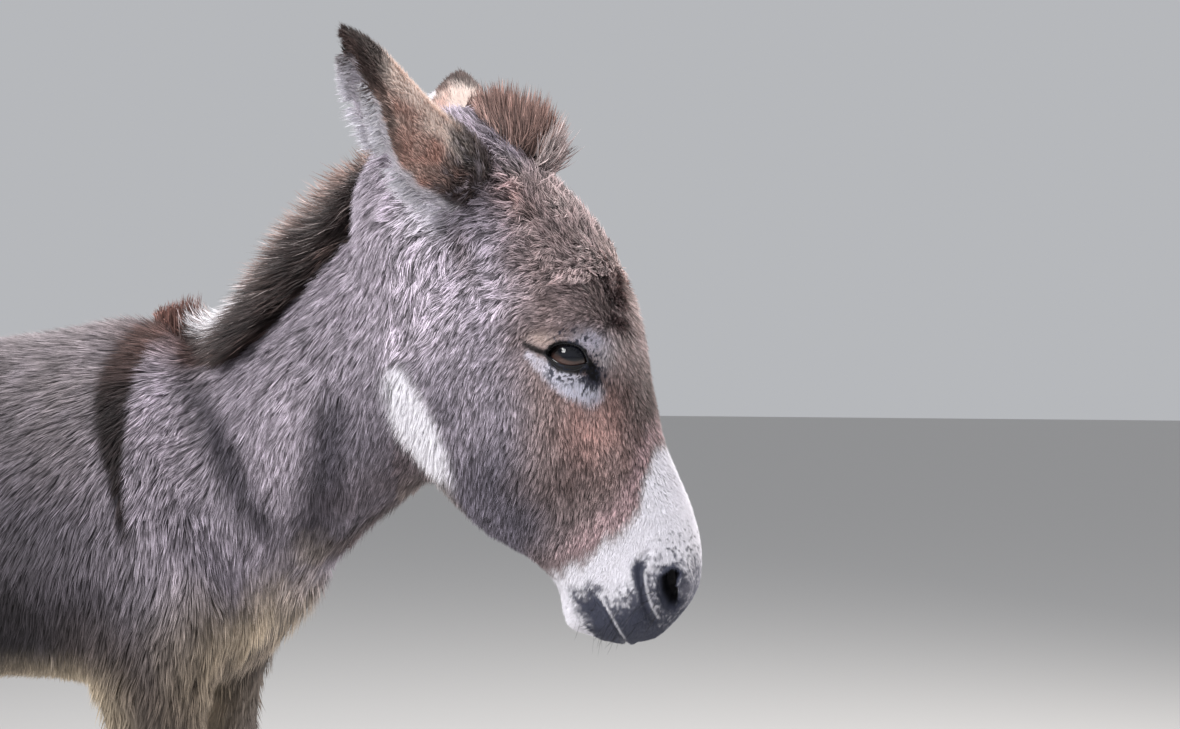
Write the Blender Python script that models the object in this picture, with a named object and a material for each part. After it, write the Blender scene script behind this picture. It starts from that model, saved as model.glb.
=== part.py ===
"""A standing donkey, life size, as a still model parted into its named body parts.

Run it with blender --background --python part.py, or from Blender's text editor.
Metres, +Z up.  +X is the way the trunk points and +Y is the animal's left.
The solids reach out to the tips of the coat.  The body is lofted from stations, fused into one
skin, modelled with bumps and hollows, and then parted with thin cuts.
"""

import math

import bmesh
import bpy
import numpy as np
from mathutils import Matrix, Vector

# ---------------------------------------------------------------- driving dimensions
WITHERS_HEIGHT = 1.045      # top of the coat over the shoulder blades
CUT = 0.0012                # width of the thin cuts between body parts
GAP = 0.0010                # clearance between a separate piece and the body it grows from
VOXEL = 0.0050              # cell of the remesh that fuses the lofts
BODY_TRIANGLES = 4240       # faces left on the fused body before it is parted
RING = 28                   # points round a lofted section
STEPS = 4                   # rings between two stations

# ---------------------------------------------------------------- the head's own frame
POLL = Vector((0.413, -0.137, 1.205))
HEADING = math.radians(10.0)        # the head looks a little to the left of the trunk
DROOP = math.radians(69.0)          # how far the face hangs below the horizon
EYE_AT = (0.2240, -0.0095, 0.0750)  # along the face, up from the axis, out from the middle
EYE_RADIUS = 0.0185
NOSTRIL_AT = (0.4515, -0.0065, 0.047)

# Sections of the head: distance from the poll, brow line, jaw line, and the half widths
# a sixth of the way down, half way down and a sixth of the way up.
HEAD_STATIONS = [
    (-0.030, -0.020, -0.110, 0.036, 0.054, 0.040),
    (0.000, -0.002, -0.150, 0.052, 0.072, 0.060),
    (0.045, 0.020, -0.172, 0.063, 0.083, 0.068),
    (0.100, 0.044, -0.184, 0.072, 0.089, 0.070),
    (0.160, 0.058, -0.190, 0.082, 0.090, 0.066),
    (0.215, 0.057, -0.192, 0.079, 0.086, 0.060),
    (0.275, 0.046, -0.186, 0.059, 0.073, 0.052),
    (0.330, 0.038, -0.164, 0.046, 0.059, 0.043),
    (0.380, 0.040, -0.130, 0.043, 0.051, 0.040),
    (0.420, 0.037, -0.108, 0.043, 0.055, 0.042),
    (0.450, 0.028, -0.101, 0.042, 0.056, 0.042),
    (0.473, 0.010, -0.092, 0.034, 0.047, 0.035),
    (0.489, -0.022, -0.074, 0.016, 0.022, 0.016),
]

# Sections of the neck: crest (x, y, z), underside (x, y, z), half widths as above.
NECK_STATIONS = [
    ((-0.100, 0.000, 0.990), (0.045, 0.000, 0.690), 0.050, 0.120, 0.105),
    ((0.020, -0.010, 1.010), (0.098, -0.004, 0.720), 0.052, 0.116, 0.096),
    ((0.100, -0.040, 1.036), (0.160, -0.030, 0.766), 0.050, 0.104, 0.078),
    ((0.180, -0.084, 1.088), (0.228, -0.070, 0.812), 0.046, 0.094, 0.066),
    ((0.262, -0.120, 1.134), (0.296, -0.106, 0.851), 0.047, 0.088, 0.062),
    ((0.350, -0.142, 1.168), (0.350, -0.134, 0.889), 0.050, 0.080, 0.058),
    ((0.415, -0.140, 1.176), (0.400, -0.138, 0.955), 0.046, 0.070, 0.054),
]

# Sections of the trunk: place along it, back line, belly line, half widths as above.
TRUNK_STATIONS = [
    (0.132, 0.820, 0.735, 0.040, 0.056, 0.045),
    (0.112, 0.890, 0.690, 0.068, 0.104, 0.084),
    (0.070, 0.980, 0.650, 0.078, 0.152, 0.114),
    (0.000, 1.028, 0.634, 0.082, 0.180, 0.138),
    (-0.070, WITHERS_HEIGHT - 0.003, 0.634, 0.086, 0.190, 0.152),
    (-0.160, 1.028, 0.638, 0.100, 0.202, 0.164),
    (-0.300, 1.012, 0.628, 0.128, 0.224, 0.180),
    (-0.450, 1.008, 0.608, 0.146, 0.238, 0.190),
    (-0.580, 1.024, 0.618, 0.146, 0.228, 0.172),
    (-0.690, 1.046, 0.668, 0.140, 0.208, 0.138),
    (-0.790, 1.030, 0.715, 0.118, 0.180, 0.118),
    (-0.865, 0.975, 0.760, 0.080, 0.136, 0.092),
    (-0.903, 0.900, 0.810, 0.040, 0.060, 0.045),
]

# Sections of a fore leg: height, place forward of the leg's line, place out from the trunk's
# middle, half length and half width.
FORE_STATIONS = [
    (0.840, 0.000, 0.104, 0.048, 0.032),
    (0.760, 0.010, 0.110, 0.080, 0.054),
    (0.680, 0.006, 0.106, 0.070, 0.056),
    (0.610, 0.000, 0.098, 0.054, 0.049),
    (0.540, 0.004, 0.092, 0.046, 0.043),
    (0.440, 0.007, 0.088, 0.039, 0.036),
    (0.375, 0.010, 0.086, 0.038, 0.035),
    (0.335, 0.014, 0.085, 0.041, 0.037),
    (0.295, 0.010, 0.085, 0.035, 0.032),
    (0.220, 0.004, 0.085, 0.029, 0.026),
    (0.165, 0.000, 0.085, 0.033, 0.029),
    (0.135, -0.002, 0.085, 0.039, 0.033),
    (0.095, 0.014, 0.085, 0.031, 0.029),
    (0.062, 0.029, 0.085, 0.037, 0.034),
    (0.040, 0.034, 0.085, 0.038, 0.035),
]
HIND_STATIONS = [
    (0.930, 0.030, 0.090, 0.110, 0.070),
    (0.850, 0.022, 0.108, 0.145, 0.086),
    (0.760, 0.016, 0.114, 0.142, 0.080),
    (0.680, 0.022, 0.112, 0.116, 0.068),
    (0.600, 0.010, 0.108, 0.084, 0.054),
    (0.520, -0.022, 0.104, 0.059, 0.043),
    (0.460, -0.050, 0.101, 0.048, 0.035),
    (0.412, -0.074, 0.100, 0.050, 0.034),
    (0.375, -0.070, 0.099, 0.046, 0.036),
    (0.325, -0.058, 0.098, 0.037, 0.031),
    (0.240, -0.048, 0.097, 0.030, 0.027),
    (0.175, -0.043, 0.097, 0.033, 0.029),
    (0.140, -0.042, 0.097, 0.039, 0.033),
    (0.098, -0.024, 0.097, 0.031, 0.029),
    (0.062, -0.008, 0.097, 0.037, 0.034),
    (0.040, -0.003, 0.097, 0.038, 0.034),
]
FORE_LINE = {"right": 0.016, "left": -0.020}    # the left fore stands a little behind
HIND_LINE = {"right": -0.785, "left": -0.735}   # and the left hind a little ahead
SIDES = {"right": -1, "left": 1}

# Each leg ends in a hoof, under a coronet that is higher in front.
CORONET_HEIGHT = 0.058
CORONET_SLOPE = math.radians(16.0)
HOOF_FLARE = 1.10
SOLE_BEVEL = 0.004

# Ears: length, half width at the widest, and where each tip points from its base.
EAR_LENGTH = 0.226
EAR_HALF_WIDTH = 0.047
EAR_WALL = 0.0075
EAR_BASE = (0.036, -0.036, 0.052)   # in the head's frame, for either side
EAR_TIP = {"right": Vector((0.350, -0.363, 1.262)), "left": Vector((0.300, 0.040, 1.291))}

# The mane's sections: where along the neck (0 is the withers), how far the middle stands off the
# crest and lies to the right of it, the tilt in degrees (below 0 the foot of the hair goes out
# to the right), and the half height and half thickness.
MANE_STATIONS = [
    (-0.01, 0.000, 0.000, 0, 0.010, 0.010),
    (0.05, 0.010, 0.002, 5, 0.026, 0.017),
    (0.13, 0.016, 0.004, 5, 0.036, 0.020),
    (0.19, 0.004, 0.014, -15, 0.032, 0.020),
    (0.24, -0.008, 0.025, -32, 0.033, 0.019),
    (0.31, -0.017, 0.040, -42, 0.050, 0.020),
    (0.40, -0.022, 0.048, -40, 0.066, 0.023),
    (0.54, -0.004, 0.036, -30, 0.062, 0.027),
    (0.70, 0.012, 0.018, -12, 0.046, 0.026),
    (0.85, 0.012, 0.004, 5, 0.034, 0.022),
    (0.93, 0.008, 0.000, 0, 0.024, 0.016),
]

FINISHES = {
    "coat": ((0.36, 0.31, 0.30), 0.85),
    "dark_hair": ((0.09, 0.065, 0.055), 0.80),
    "ear_coat": ((0.42, 0.31, 0.25), 0.85),
    "eye": ((0.020, 0.013, 0.010), 0.08),
    "horn": ((0.075, 0.066, 0.060), 0.45),
}


# ---------------------------------------------------------------- small helpers
def clear_scene():
    for old in list(bpy.data.objects):
        bpy.data.objects.remove(old, do_unlink=True)


def finish(name):
    """The Principled material of that name, made once."""
    if name in bpy.data.materials:
        return bpy.data.materials[name]
    colour, roughness = FINISHES[name]
    material = bpy.data.materials.new(name)
    material.use_nodes = True
    shader = material.node_tree.nodes["Principled BSDF"]
    shader.inputs["Base Color"].default_value = (*colour, 1.0)
    shader.inputs["Roughness"].default_value = roughness
    shader.inputs["Metallic"].default_value = 0.0
    return material


def add_object(name, mesh):
    made = bpy.data.objects.new(name, mesh)
    bpy.context.scene.collection.objects.link(made)
    return made


def between(a, b, c, d, t):
    """A point on the Catmull-Rom curve from b to c."""
    return 0.5 * (2 * b + (c - a) * t + (2 * a - 5 * b + 4 * c - d) * t * t
                  + (3 * b - a - 3 * c + d) * t ** 3)


def open_curve(points, steps):
    """A smooth curve through the points, with that many steps between each two."""
    points = [np.asarray(p, float) for p in points]
    ends = [2 * points[0] - points[1]] + points + [2 * points[-1] - points[-2]]
    curve = [between(*ends[i:i + 4], k / steps) for i in range(len(points) - 1) for k in range(steps)]
    return np.array(curve + [points[-1]])


def closed_curve(points, count):
    """That many points on a smooth closed curve through the given ones."""
    n = len(points)
    points = np.asarray(points, float)
    places = np.arange(count) * n / count
    return np.array([between(*(points[(int(p) + k) % n] for k in (-1, 0, 1, 2)), p % 1.0) for p in places])


def section(top, bottom, out, upper, middle, lower):
    """A closed ring from its top and bottom points, its sideways direction and three half widths."""
    top, bottom, out = (np.asarray(v, float) for v in (top, bottom, out))
    heights = ((1.0, 0.0), (0.86, upper), (0.50, middle), (0.15, lower))
    left = [bottom + (top - bottom) * h + out * w for h, w in heights]
    right = [bottom + (top - bottom) * h - out * w for h, w in heights[1:]]
    return closed_curve(left + [bottom] + right[::-1], RING)


def oval(centre, fore, out, length, width, count=RING):
    """A ring round the centre, a little squarer than an ellipse."""
    ring = []
    for k in range(count):
        a = 2 * math.pi * k / count
        c, s = math.cos(a), math.sin(a)
        squarer = (abs(c) ** 2.5 + abs(s) ** 2.5) ** (-1 / 2.5)
        ring.append(np.asarray(centre) + np.asarray(fore) * length * c * squarer
                    + np.asarray(out) * width * s * squarer)
    return np.array(ring)


def loft(name, rings, steps=STEPS):
    """A closed solid through the rings, capped at both ends."""
    count = len(rings[0])
    rows = open_curve([np.asarray(r).ravel() for r in rings], steps).reshape(-1, count, 3)
    mesh = bmesh.new()
    grid = [[mesh.verts.new(p) for p in row] for row in rows]
    for low, high in zip(grid, grid[1:]):
        for k in range(count):
            mesh.faces.new((low[k], low[(k + 1) % count], high[(k + 1) % count], high[k]))
    for row in (grid[0], grid[-1]):
        middle = mesh.verts.new(sum((v.co for v in row), Vector()) / count)
        for k in range(count):
            mesh.faces.new((row[k], row[(k + 1) % count], middle))
    bmesh.ops.recalc_face_normals(mesh, faces=mesh.faces)
    made = bpy.data.meshes.new(name)
    mesh.to_mesh(made)
    mesh.free()
    return add_object(name, made)


def bake_modifiers(obj):
    """Replaces the object's mesh with what its modifiers make."""
    graph = bpy.context.evaluated_depsgraph_get()
    made = bpy.data.meshes.new_from_object(obj.evaluated_get(graph))
    obj.modifiers.clear()
    obj.data = made


def boolean(obj, other, operation):
    modifier = obj.modifiers.new(operation.title(), "BOOLEAN")
    modifier.operation = operation
    modifier.object = other
    modifier.solver = "EXACT"
    bake_modifiers(obj)


def remove(obj):
    bpy.data.objects.remove(obj, do_unlink=True)


def grown(obj, by):
    """A helper copy of the object, grown outwards along its normals."""
    copy = add_object(obj.name + "_grown", obj.data.copy())
    for vertex, normal in zip(copy.data.vertices, [v.normal.copy() for v in copy.data.vertices]):
        vertex.co += normal * by
    return copy


def loose_pieces(mesh):
    """The sets of joined vertices of a bmesh."""
    left, pieces = set(mesh.verts), []
    while left:
        found, edge = set(), [left.pop()]
        while edge:
            vertex = edge.pop()
            found.add(vertex)
            for other in (e.other_vert(vertex) for e in vertex.link_edges):
                if other in left:
                    left.remove(other)
                    edge.append(other)
        pieces.append(found)
    return pieces


def keep_largest(piece):
    """Drops crumbs that a Boolean leaves beside the main body of a piece."""
    mesh = bmesh.new()
    mesh.from_mesh(piece.data)
    largest = max(loose_pieces(mesh), key=len)
    bmesh.ops.delete(mesh, geom=[v for v in mesh.verts if v not in largest], context="VERTS")
    mesh.to_mesh(piece.data)
    mesh.free()


# ---------------------------------------------------------------- the head's frame
def head_frame():
    """The matrix whose columns run along the face, up out of it, and to the animal's left."""
    along = Vector((math.cos(HEADING) * math.cos(DROOP), math.sin(HEADING) * math.cos(DROOP), -math.sin(DROOP)))
    up = Vector((math.cos(HEADING) * math.sin(DROOP), math.sin(HEADING) * math.sin(DROOP), math.cos(DROOP)))
    left = Vector((-math.sin(HEADING), math.cos(HEADING), 0.0))
    frame = Matrix((along, up, left)).transposed().to_4x4()
    frame.translation = POLL
    return frame


HEAD = head_frame()


def on_head(along, up, out):
    return HEAD @ Vector((along, up, out))


# ---------------------------------------------------------------- lofts of the body
def head_loft():
    left = HEAD.col[2].xyz
    return loft("head_loft", [section(on_head(t, top, 0), on_head(t, low, 0), left, *widths)
                              for t, top, low, *widths in HEAD_STATIONS])


def neck_loft():
    rings = []
    for k, (crest, throat, *widths) in enumerate(NECK_STATIONS):
        before = Vector(NECK_STATIONS[max(k - 1, 0)][0])
        after = Vector(NECK_STATIONS[min(k + 1, len(NECK_STATIONS) - 1)][0])
        ahead = after - before
        left = Vector((-ahead.y, ahead.x, 0)).normalized()
        rings.append(section(crest, throat, left, *widths))
    return loft("neck_loft", rings)


def trunk_loft():
    return loft("trunk_loft", [section((x, 0, back), (x, 0, belly), (0, 1, 0), *widths)
                               for x, back, belly, *widths in TRUNK_STATIONS])


def leg_loft(name, stations, line, side):
    rings = [oval((line + fore, side * out, height), (1, 0, 0), (0, 1, 0), length, width)
             for height, fore, out, length, width in stations]
    return loft(name, rings)


def legs():
    """(name, stations, line, side) of each leg."""
    for side_name, side in SIDES.items():
        yield f"foreleg_{side_name}", FORE_STATIONS, FORE_LINE[side_name], side
        yield f"hindleg_{side_name}", HIND_STATIONS, HIND_LINE[side_name], side


# ---------------------------------------------------------------- modelling of the surface
def head_forms():
    """Bumps and hollows of the head: place in the head's frame, radius and height."""
    eye = Vector(EYE_AT)
    nose = Vector(NOSTRIL_AT)
    yield eye + Vector((-0.006, 0.030, 0.008)), 0.021, 0.012      # brow over the eye
    yield eye + Vector((-0.034, 0.010, 0.006)), 0.018, 0.006      # back of the eye's rim
    yield eye + Vector((0.000, 0.000, 0.012)), 0.014, -0.012      # hollow the eye sits in
    yield eye + Vector((0.020, -0.026, 0.004)), 0.018, 0.003      # under the lower lid
    yield eye + Vector((0.056, 0.010, -0.014)), 0.022, -0.007     # hollow before the eye
    yield Vector((0.135, 0.020, 0.082)), 0.024, -0.008            # hollow of the temple
    yield Vector((0.275, -0.058, 0.072)), 0.018, 0.006            # ridge of the cheek bone
    yield Vector((0.310, -0.066, 0.062)), 0.018, 0.007
    yield Vector((0.190, -0.125, 0.086)), 0.045, 0.009            # round of the jaw muscle
    yield Vector((0.350, -0.085, 0.050)), 0.026, -0.007           # hollow behind the lips
    yield Vector((0.300, -0.150, 0.030)), 0.018, -0.004           # between the jaw's edges
    yield nose + Vector((-0.004, 0.018, 0.000)), 0.011, 0.008     # wing of the nostril
    yield nose + Vector((-0.020, -0.008, 0.004)), 0.012, 0.006    # back rim of the nostril
    yield nose + Vector((0.006, -0.020, 0.002)), 0.010, 0.004     # lower rim
    yield nose + Vector((0.002, -0.002, 0.006)), 0.0085, -0.018   # the nostril itself
    yield nose + Vector((-0.008, 0.006, 0.006)), 0.006, -0.009
    yield Vector((0.435, -0.084, 0.048)), 0.008, -0.008           # corner of the mouth
    yield Vector((0.450, -0.082, 0.042)), 0.007, -0.008           # line of the lips
    yield Vector((0.464, -0.080, 0.030)), 0.007, -0.008
    yield Vector((0.472, -0.078, 0.015)), 0.007, -0.007
    yield Vector((0.475, -0.077, 0.000)), 0.007, -0.006
    yield Vector((0.448, -0.104, 0.018)), 0.016, 0.007            # chin
    yield Vector((0.392, -0.118, 0.000)), 0.020, -0.006           # groove behind the chin
    yield Vector((0.486, -0.035, 0.000)), 0.014, 0.004            # upper lip


def body_forms():
    """Bumps and hollows of the trunk and legs: place of the right side, radius and height."""
    yield Vector((-0.050, -0.170, 0.880)), 0.060, 0.008     # shoulder blade
    yield Vector((0.110, -0.120, 0.760)), 0.050, 0.012      # point of the shoulder
    yield Vector((0.135, 0.000, 0.680)), 0.040, -0.010      # cleft of the breast
    yield Vector((0.110, -0.110, 0.900)), 0.045, -0.010     # hollow before the shoulder
    yield Vector((-0.110, -0.190, 0.700)), 0.045, -0.008    # behind the elbow
    yield Vector((-0.600, -0.215, 0.880)), 0.060, -0.012    # flank
    yield Vector((-0.640, -0.170, 1.000)), 0.035, 0.012     # point of the hip
    yield Vector((-0.700, -0.175, 0.700)), 0.060, 0.010     # stifle
    yield Vector((-0.895, -0.075, 0.870)), 0.045, 0.012     # buttock
    yield Vector((-0.900, 0.000, 0.840)), 0.035, -0.014     # cleft between them
    yield Vector((-0.062, -0.110, 0.650)), 0.026, 0.008     # point of the elbow
    yield Vector((0.050, -0.090, 0.335)), 0.020, 0.003      # front of the knee


def shape_surface(obj):
    """Moves the fused body's surface by the listed forms, the same on both sides."""
    count = len(obj.data.vertices)
    points = np.empty(count * 3)
    normals = np.empty(count * 3)
    obj.data.vertices.foreach_get("co", points)
    obj.data.vertex_normals.foreach_get("vector", normals)
    points, normals = points.reshape(-1, 3), normals.reshape(-1, 3)
    push = np.zeros(count)
    turn = np.array(HEAD.to_3x3())
    local = (points - np.array(POLL)) @ turn
    for at, radius, height in head_forms():
        for side in SIDES.values():
            centre = np.array((at.x, at.y, at.z * side))
            push += height * np.exp(-((local - centre) ** 2).sum(1) / (2 * radius ** 2))
            if at.z == 0:
                break
    for at, radius, height in body_forms():
        for side in (1, -1):
            centre = np.array((at.x, at.y * side, at.z))
            push += height * np.exp(-((points - centre) ** 2).sum(1) / (2 * radius ** 2))
            if at.y == 0:
                break
    obj.data.vertices.foreach_set("co", (points + normals * push[:, None]).ravel())


def fuse(objects):
    """One smooth closed skin over the lofts."""
    whole = objects[0]
    joined = bmesh.new()
    for obj in objects:
        joined.from_mesh(obj.data)
    joined.to_mesh(whole.data)
    joined.free()
    for obj in objects[1:]:
        remove(obj)
    whole.name = "whole"
    remesh = whole.modifiers.new("Fuse", "REMESH")
    remesh.mode = "VOXEL"
    remesh.voxel_size = VOXEL
    soften = whole.modifiers.new("Soften", "SMOOTH")
    soften.factor = 0.5
    soften.iterations = 14
    bake_modifiers(whole)
    return whole


def thin_out(whole):
    """Fewer faces, with more of them kept on the head than on the trunk and legs."""
    group = whole.vertex_groups.new(name="spare")
    turn = np.array(HEAD.to_3x3())
    for vertex in whole.data.vertices:
        local = (np.array(vertex.co) - np.array(POLL)) @ turn
        on_face = local[0] > 0.0 and local[1] > -0.21 and vertex.co.z > 0.70 and vertex.co.x > 0.34
        group.add([vertex.index], 0.5 if on_face else 1.0, "REPLACE")
    decimate = whole.modifiers.new("Thin", "DECIMATE")
    decimate.ratio = BODY_TRIANGLES / (2 * len(whole.data.polygons))
    decimate.vertex_group = group.name
    decimate.vertex_group_factor = 0.01
    decimate.use_collapse_triangulate = True
    bake_modifiers(whole)


# ---------------------------------------------------------------- parting the body
def slab(centre, normal, across, reach_1, reach_2):
    """A thin box on the plane through the centre, reaching that far across and that far the other way."""
    normal = Vector(normal).normalized()
    across = (Vector(across) - normal * normal.dot(Vector(across))).normalized()
    other = normal.cross(across)
    mesh = bmesh.new()
    bmesh.ops.create_cube(mesh, size=1.0)
    bmesh.ops.scale(mesh, vec=(2 * reach_1, 2 * reach_2, CUT), verts=mesh.verts)
    made = bpy.data.meshes.new("slab")
    mesh.to_mesh(made)
    mesh.free()
    frame = Matrix((across, other, normal)).transposed().to_4x4()
    frame.translation = Vector(centre)
    made.transform(frame)
    return add_object("slab", made)


def cuts():
    """The thin slabs that part head, neck, trunk and legs."""
    left = HEAD.col[2].xyz
    throat, crest = on_head(0.300, -0.225, 0), on_head(-0.045, -0.075, 0)
    yield slab((throat + crest) / 2, (crest - throat).cross(left), left, 0.16, 0.215)
    low, high = Vector((0.150, 0.0, 0.700)), Vector((-0.030, 0.0, 1.060))
    yield slab((low + high) / 2, (high - low).cross(Vector((0, 1, 0))), (0, 1, 0), 0.21, 0.225)
    for name, side in SIDES.items():
        centre = Vector((FORE_LINE[name] - 0.010, side * 0.150, 0.655))
        yield slab(centre, (0.10, -side * 0.45, 1.0), (1, 0, 0), 0.135, 0.155)
        centre = Vector((HIND_LINE[name] + 0.035, side * 0.150, 0.715))
        yield slab(centre, (0.50, -side * 0.50, 1.0), (1, 0, 0), 0.215, 0.158)


def part_body(whole):
    """Cuts the fused body, and names each loose piece by the point that it holds."""
    for cut in list(cuts()):
        boolean(whole, cut, "DIFFERENCE")
        remove(cut)
    places = {"head": on_head(0.24, -0.06, 0), "neck": Vector((0.18, -0.08, 0.95)), "trunk": Vector((-0.38, 0.0, 0.83))}
    for name, stations, line, side in legs():
        places[name] = Vector((line, side * 0.09, 0.35))
    mesh = bmesh.new()
    mesh.from_mesh(whole.data)
    made = {}
    for found in sorted(loose_pieces(mesh), key=len, reverse=True)[:len(places)]:
        centre = sum((v.co for v in found), Vector()) / len(found)
        name = min(places, key=lambda n: (centre - places[n]).length)
        made[name] = add_piece(name, found)
        del places[name]
    mesh.free()
    remove(whole)
    return made


def add_piece(name, verts):
    """A new object from part of a bmesh."""
    piece = bmesh.new()
    copies = {v: piece.verts.new(v.co) for v in verts}
    for face in {f for v in verts for f in v.link_faces}:
        piece.faces.new([copies[v] for v in face.verts])
    bmesh.ops.recalc_face_normals(piece, faces=piece.faces)
    mesh = bpy.data.meshes.new(name)
    piece.to_mesh(mesh)
    piece.free()
    return add_object(name, mesh)


# ---------------------------------------------------------------- pieces that grow from the body
def ear(name, side_name):
    """A cupped leaf: a curved wall that is nearly a tube at its base and shallow at its tip."""
    side = SIDES[side_name]
    base = on_head(EAR_BASE[0], EAR_BASE[1], side * EAR_BASE[2])
    axis = (EAR_TIP[side_name] - base).normalized()
    mouth = Vector((-0.75, side * 0.17, -0.64))
    mouth = (mouth - axis * axis.dot(mouth)).normalized()
    across = axis.cross(mouth)
    rings = []
    rows = 11
    for k in range(rows):
        s = k / (rows - 1)
        swell = math.sin(math.pi * min(1.0, (0.20 + 0.80 * s)) ** 1.15) ** 0.62 if s < 1 else 0.0
        half = max(EAR_HALF_WIDTH * (0.34 + 0.66 * swell) * (1 - s ** 7) ** 0.5, 0.0055)
        spread = math.radians(140 - 62 * s)
        wall = min(EAR_WALL, half * 0.55)
        centre = base + axis * (EAR_LENGTH * (s - 0.10)) + mouth * (0.030 * math.sin(math.pi * s))
        radius = half / max(math.sin(min(spread, math.pi / 2)), 0.5)
        ring = []
        arc = 8
        for j in range(arc):
            a = -spread + 2 * spread * j / (arc - 1)
            ring.append(centre + across * (radius * math.sin(a)) - mouth * (radius * math.cos(a)))
        for j in reversed(range(arc)):
            a = -spread + 2 * spread * j / (arc - 1)
            inner = max(radius - wall, radius * 0.4)
            ring.append(centre + across * (inner * math.sin(a)) - mouth * (inner * math.cos(a)))
        rings.append(np.array(ring))
    return loft(name, rings, steps=1)


def crest_curve():
    """Points along the neck's crest, from withers to poll."""
    crest = [s[0] for s in NECK_STATIONS[1:-1]]
    return open_curve([(-0.035, 0.0, 1.034)] + crest + [tuple(on_head(-0.010, 0.000, 0))], 8)


def mane():
    """The ridge of standing hair, which hangs over to the right along the lower neck."""
    crest = crest_curve()
    rings = []
    for place, off, lean, tilt, height, thickness in MANE_STATIONS:
        index = min(max(place, 0.0), 1.0) * (len(crest) - 1)
        k = min(int(index), len(crest) - 2)
        at = Vector(crest[k] + (crest[k + 1] - crest[k]) * (index - k))
        ahead = Vector(crest[k + 1] - crest[k]).normalized()
        at += ahead * min(place, 0.0)
        left = Vector((-ahead.y, ahead.x, 0)).normalized()
        up = left.cross(ahead) * -1
        tilt = math.radians(tilt)
        tall = up * math.cos(tilt) - left * math.sin(tilt)
        wide = left * math.cos(tilt) + up * math.sin(tilt)
        rings.append(oval(at + up * off - left * lean, tall, wide, height, thickness, 12))
    return loft("mane", rings, steps=2)


def forelock():
    """The tuft that stands between the ears: along the face, up from it, half height, half width."""
    sizes = ((-0.046, -0.002, 0.014, 0.013), (-0.034, 0.006, 0.028, 0.022), (-0.012, 0.014, 0.037, 0.030),
             (0.018, 0.024, 0.036, 0.028), (0.042, 0.026, 0.020, 0.019), (0.058, 0.026, 0.008, 0.008))
    rings = [oval(on_head(t, up, 0), HEAD.col[1].xyz, HEAD.col[2].xyz, tall, wide, 12) for t, up, tall, wide in sizes]
    return loft("forelock", rings, steps=2)


def tail():
    """The dock and its tuft, hanging close behind the buttocks: place, half length, half width."""
    sizes = ((-0.860, 0.945, 0.024, 0.028), (-0.902, 0.928, 0.027, 0.030), (-0.936, 0.865, 0.024, 0.028),
             (-0.948, 0.780, 0.021, 0.025), (-0.950, 0.680, 0.019, 0.023), (-0.948, 0.590, 0.022, 0.026),
             (-0.946, 0.500, 0.032, 0.035), (-0.946, 0.400, 0.031, 0.034), (-0.946, 0.320, 0.014, 0.015))
    rings = []
    for k, (x, z, length, width) in enumerate(sizes):
        before, after = sizes[max(k - 1, 0)], sizes[min(k + 1, len(sizes) - 1)]
        down = Vector((after[0] - before[0], 0, after[1] - before[1])).normalized()
        rings.append(oval((x, 0, z), down.cross(Vector((0, 1, 0))), (0, 1, 0), length, width, 14))
    return loft("tail", rings, steps=2)


def eyeball(name, side):
    mesh = bmesh.new()
    bmesh.ops.create_icosphere(mesh, subdivisions=3, radius=EYE_RADIUS)
    made = bpy.data.meshes.new(name)
    mesh.to_mesh(made)
    mesh.free()
    made.transform(Matrix.Translation(on_head(EYE_AT[0], EYE_AT[1], side * EYE_AT[2])))
    return add_object(name, made)


def hoof(name, stations, line, side):
    """The horn under the coronet: a cone cut flat at the sole, longer in front."""
    height, fore, out, length, width = stations[-1]
    centre_x = line + fore
    rings = []
    for share in (0.0, 0.5, 1.0):
        flare = 1 + (HOOF_FLARE - 1) * share
        slope = (CORONET_HEIGHT - 0.012) * (1 - share)
        ring = oval((centre_x + 0.010 * share, side * out, slope), (1, 0, 0), (0, 1, 0),
                    length * flare * 0.97, width * flare * 0.97, 22)
        ring[:, 2] += (ring[:, 0] - centre_x) * math.tan(CORONET_SLOPE) * (1 - share)
        rings.append(ring)
    made = loft(name, rings, steps=1)
    bevel = made.modifiers.new("Sole edge", "BEVEL")
    bevel.width = SOLE_BEVEL
    bevel.segments = 1
    bevel.angle_limit = math.radians(50)
    return made


def coronet_cut(whole, stations, line, side):
    """Cuts a leg of the fused body off along its coronet."""
    height, fore, out, length, width = stations[-1]
    block = slab((line + fore, side * out, CORONET_HEIGHT - 0.012 - 0.075 + GAP), (0, 0, 1), (1, 0, 0), 0.08, 0.07)
    for vertex in block.data.vertices:
        low = vertex.co.z < CORONET_HEIGHT - 0.012 - 0.075 + GAP
        vertex.co.z += -0.030 if low else 0.075
        if not low:
            vertex.co.z += (vertex.co.x - line - fore) * math.tan(CORONET_SLOPE)
    boolean(whole, block, "DIFFERENCE")
    remove(block)


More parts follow.
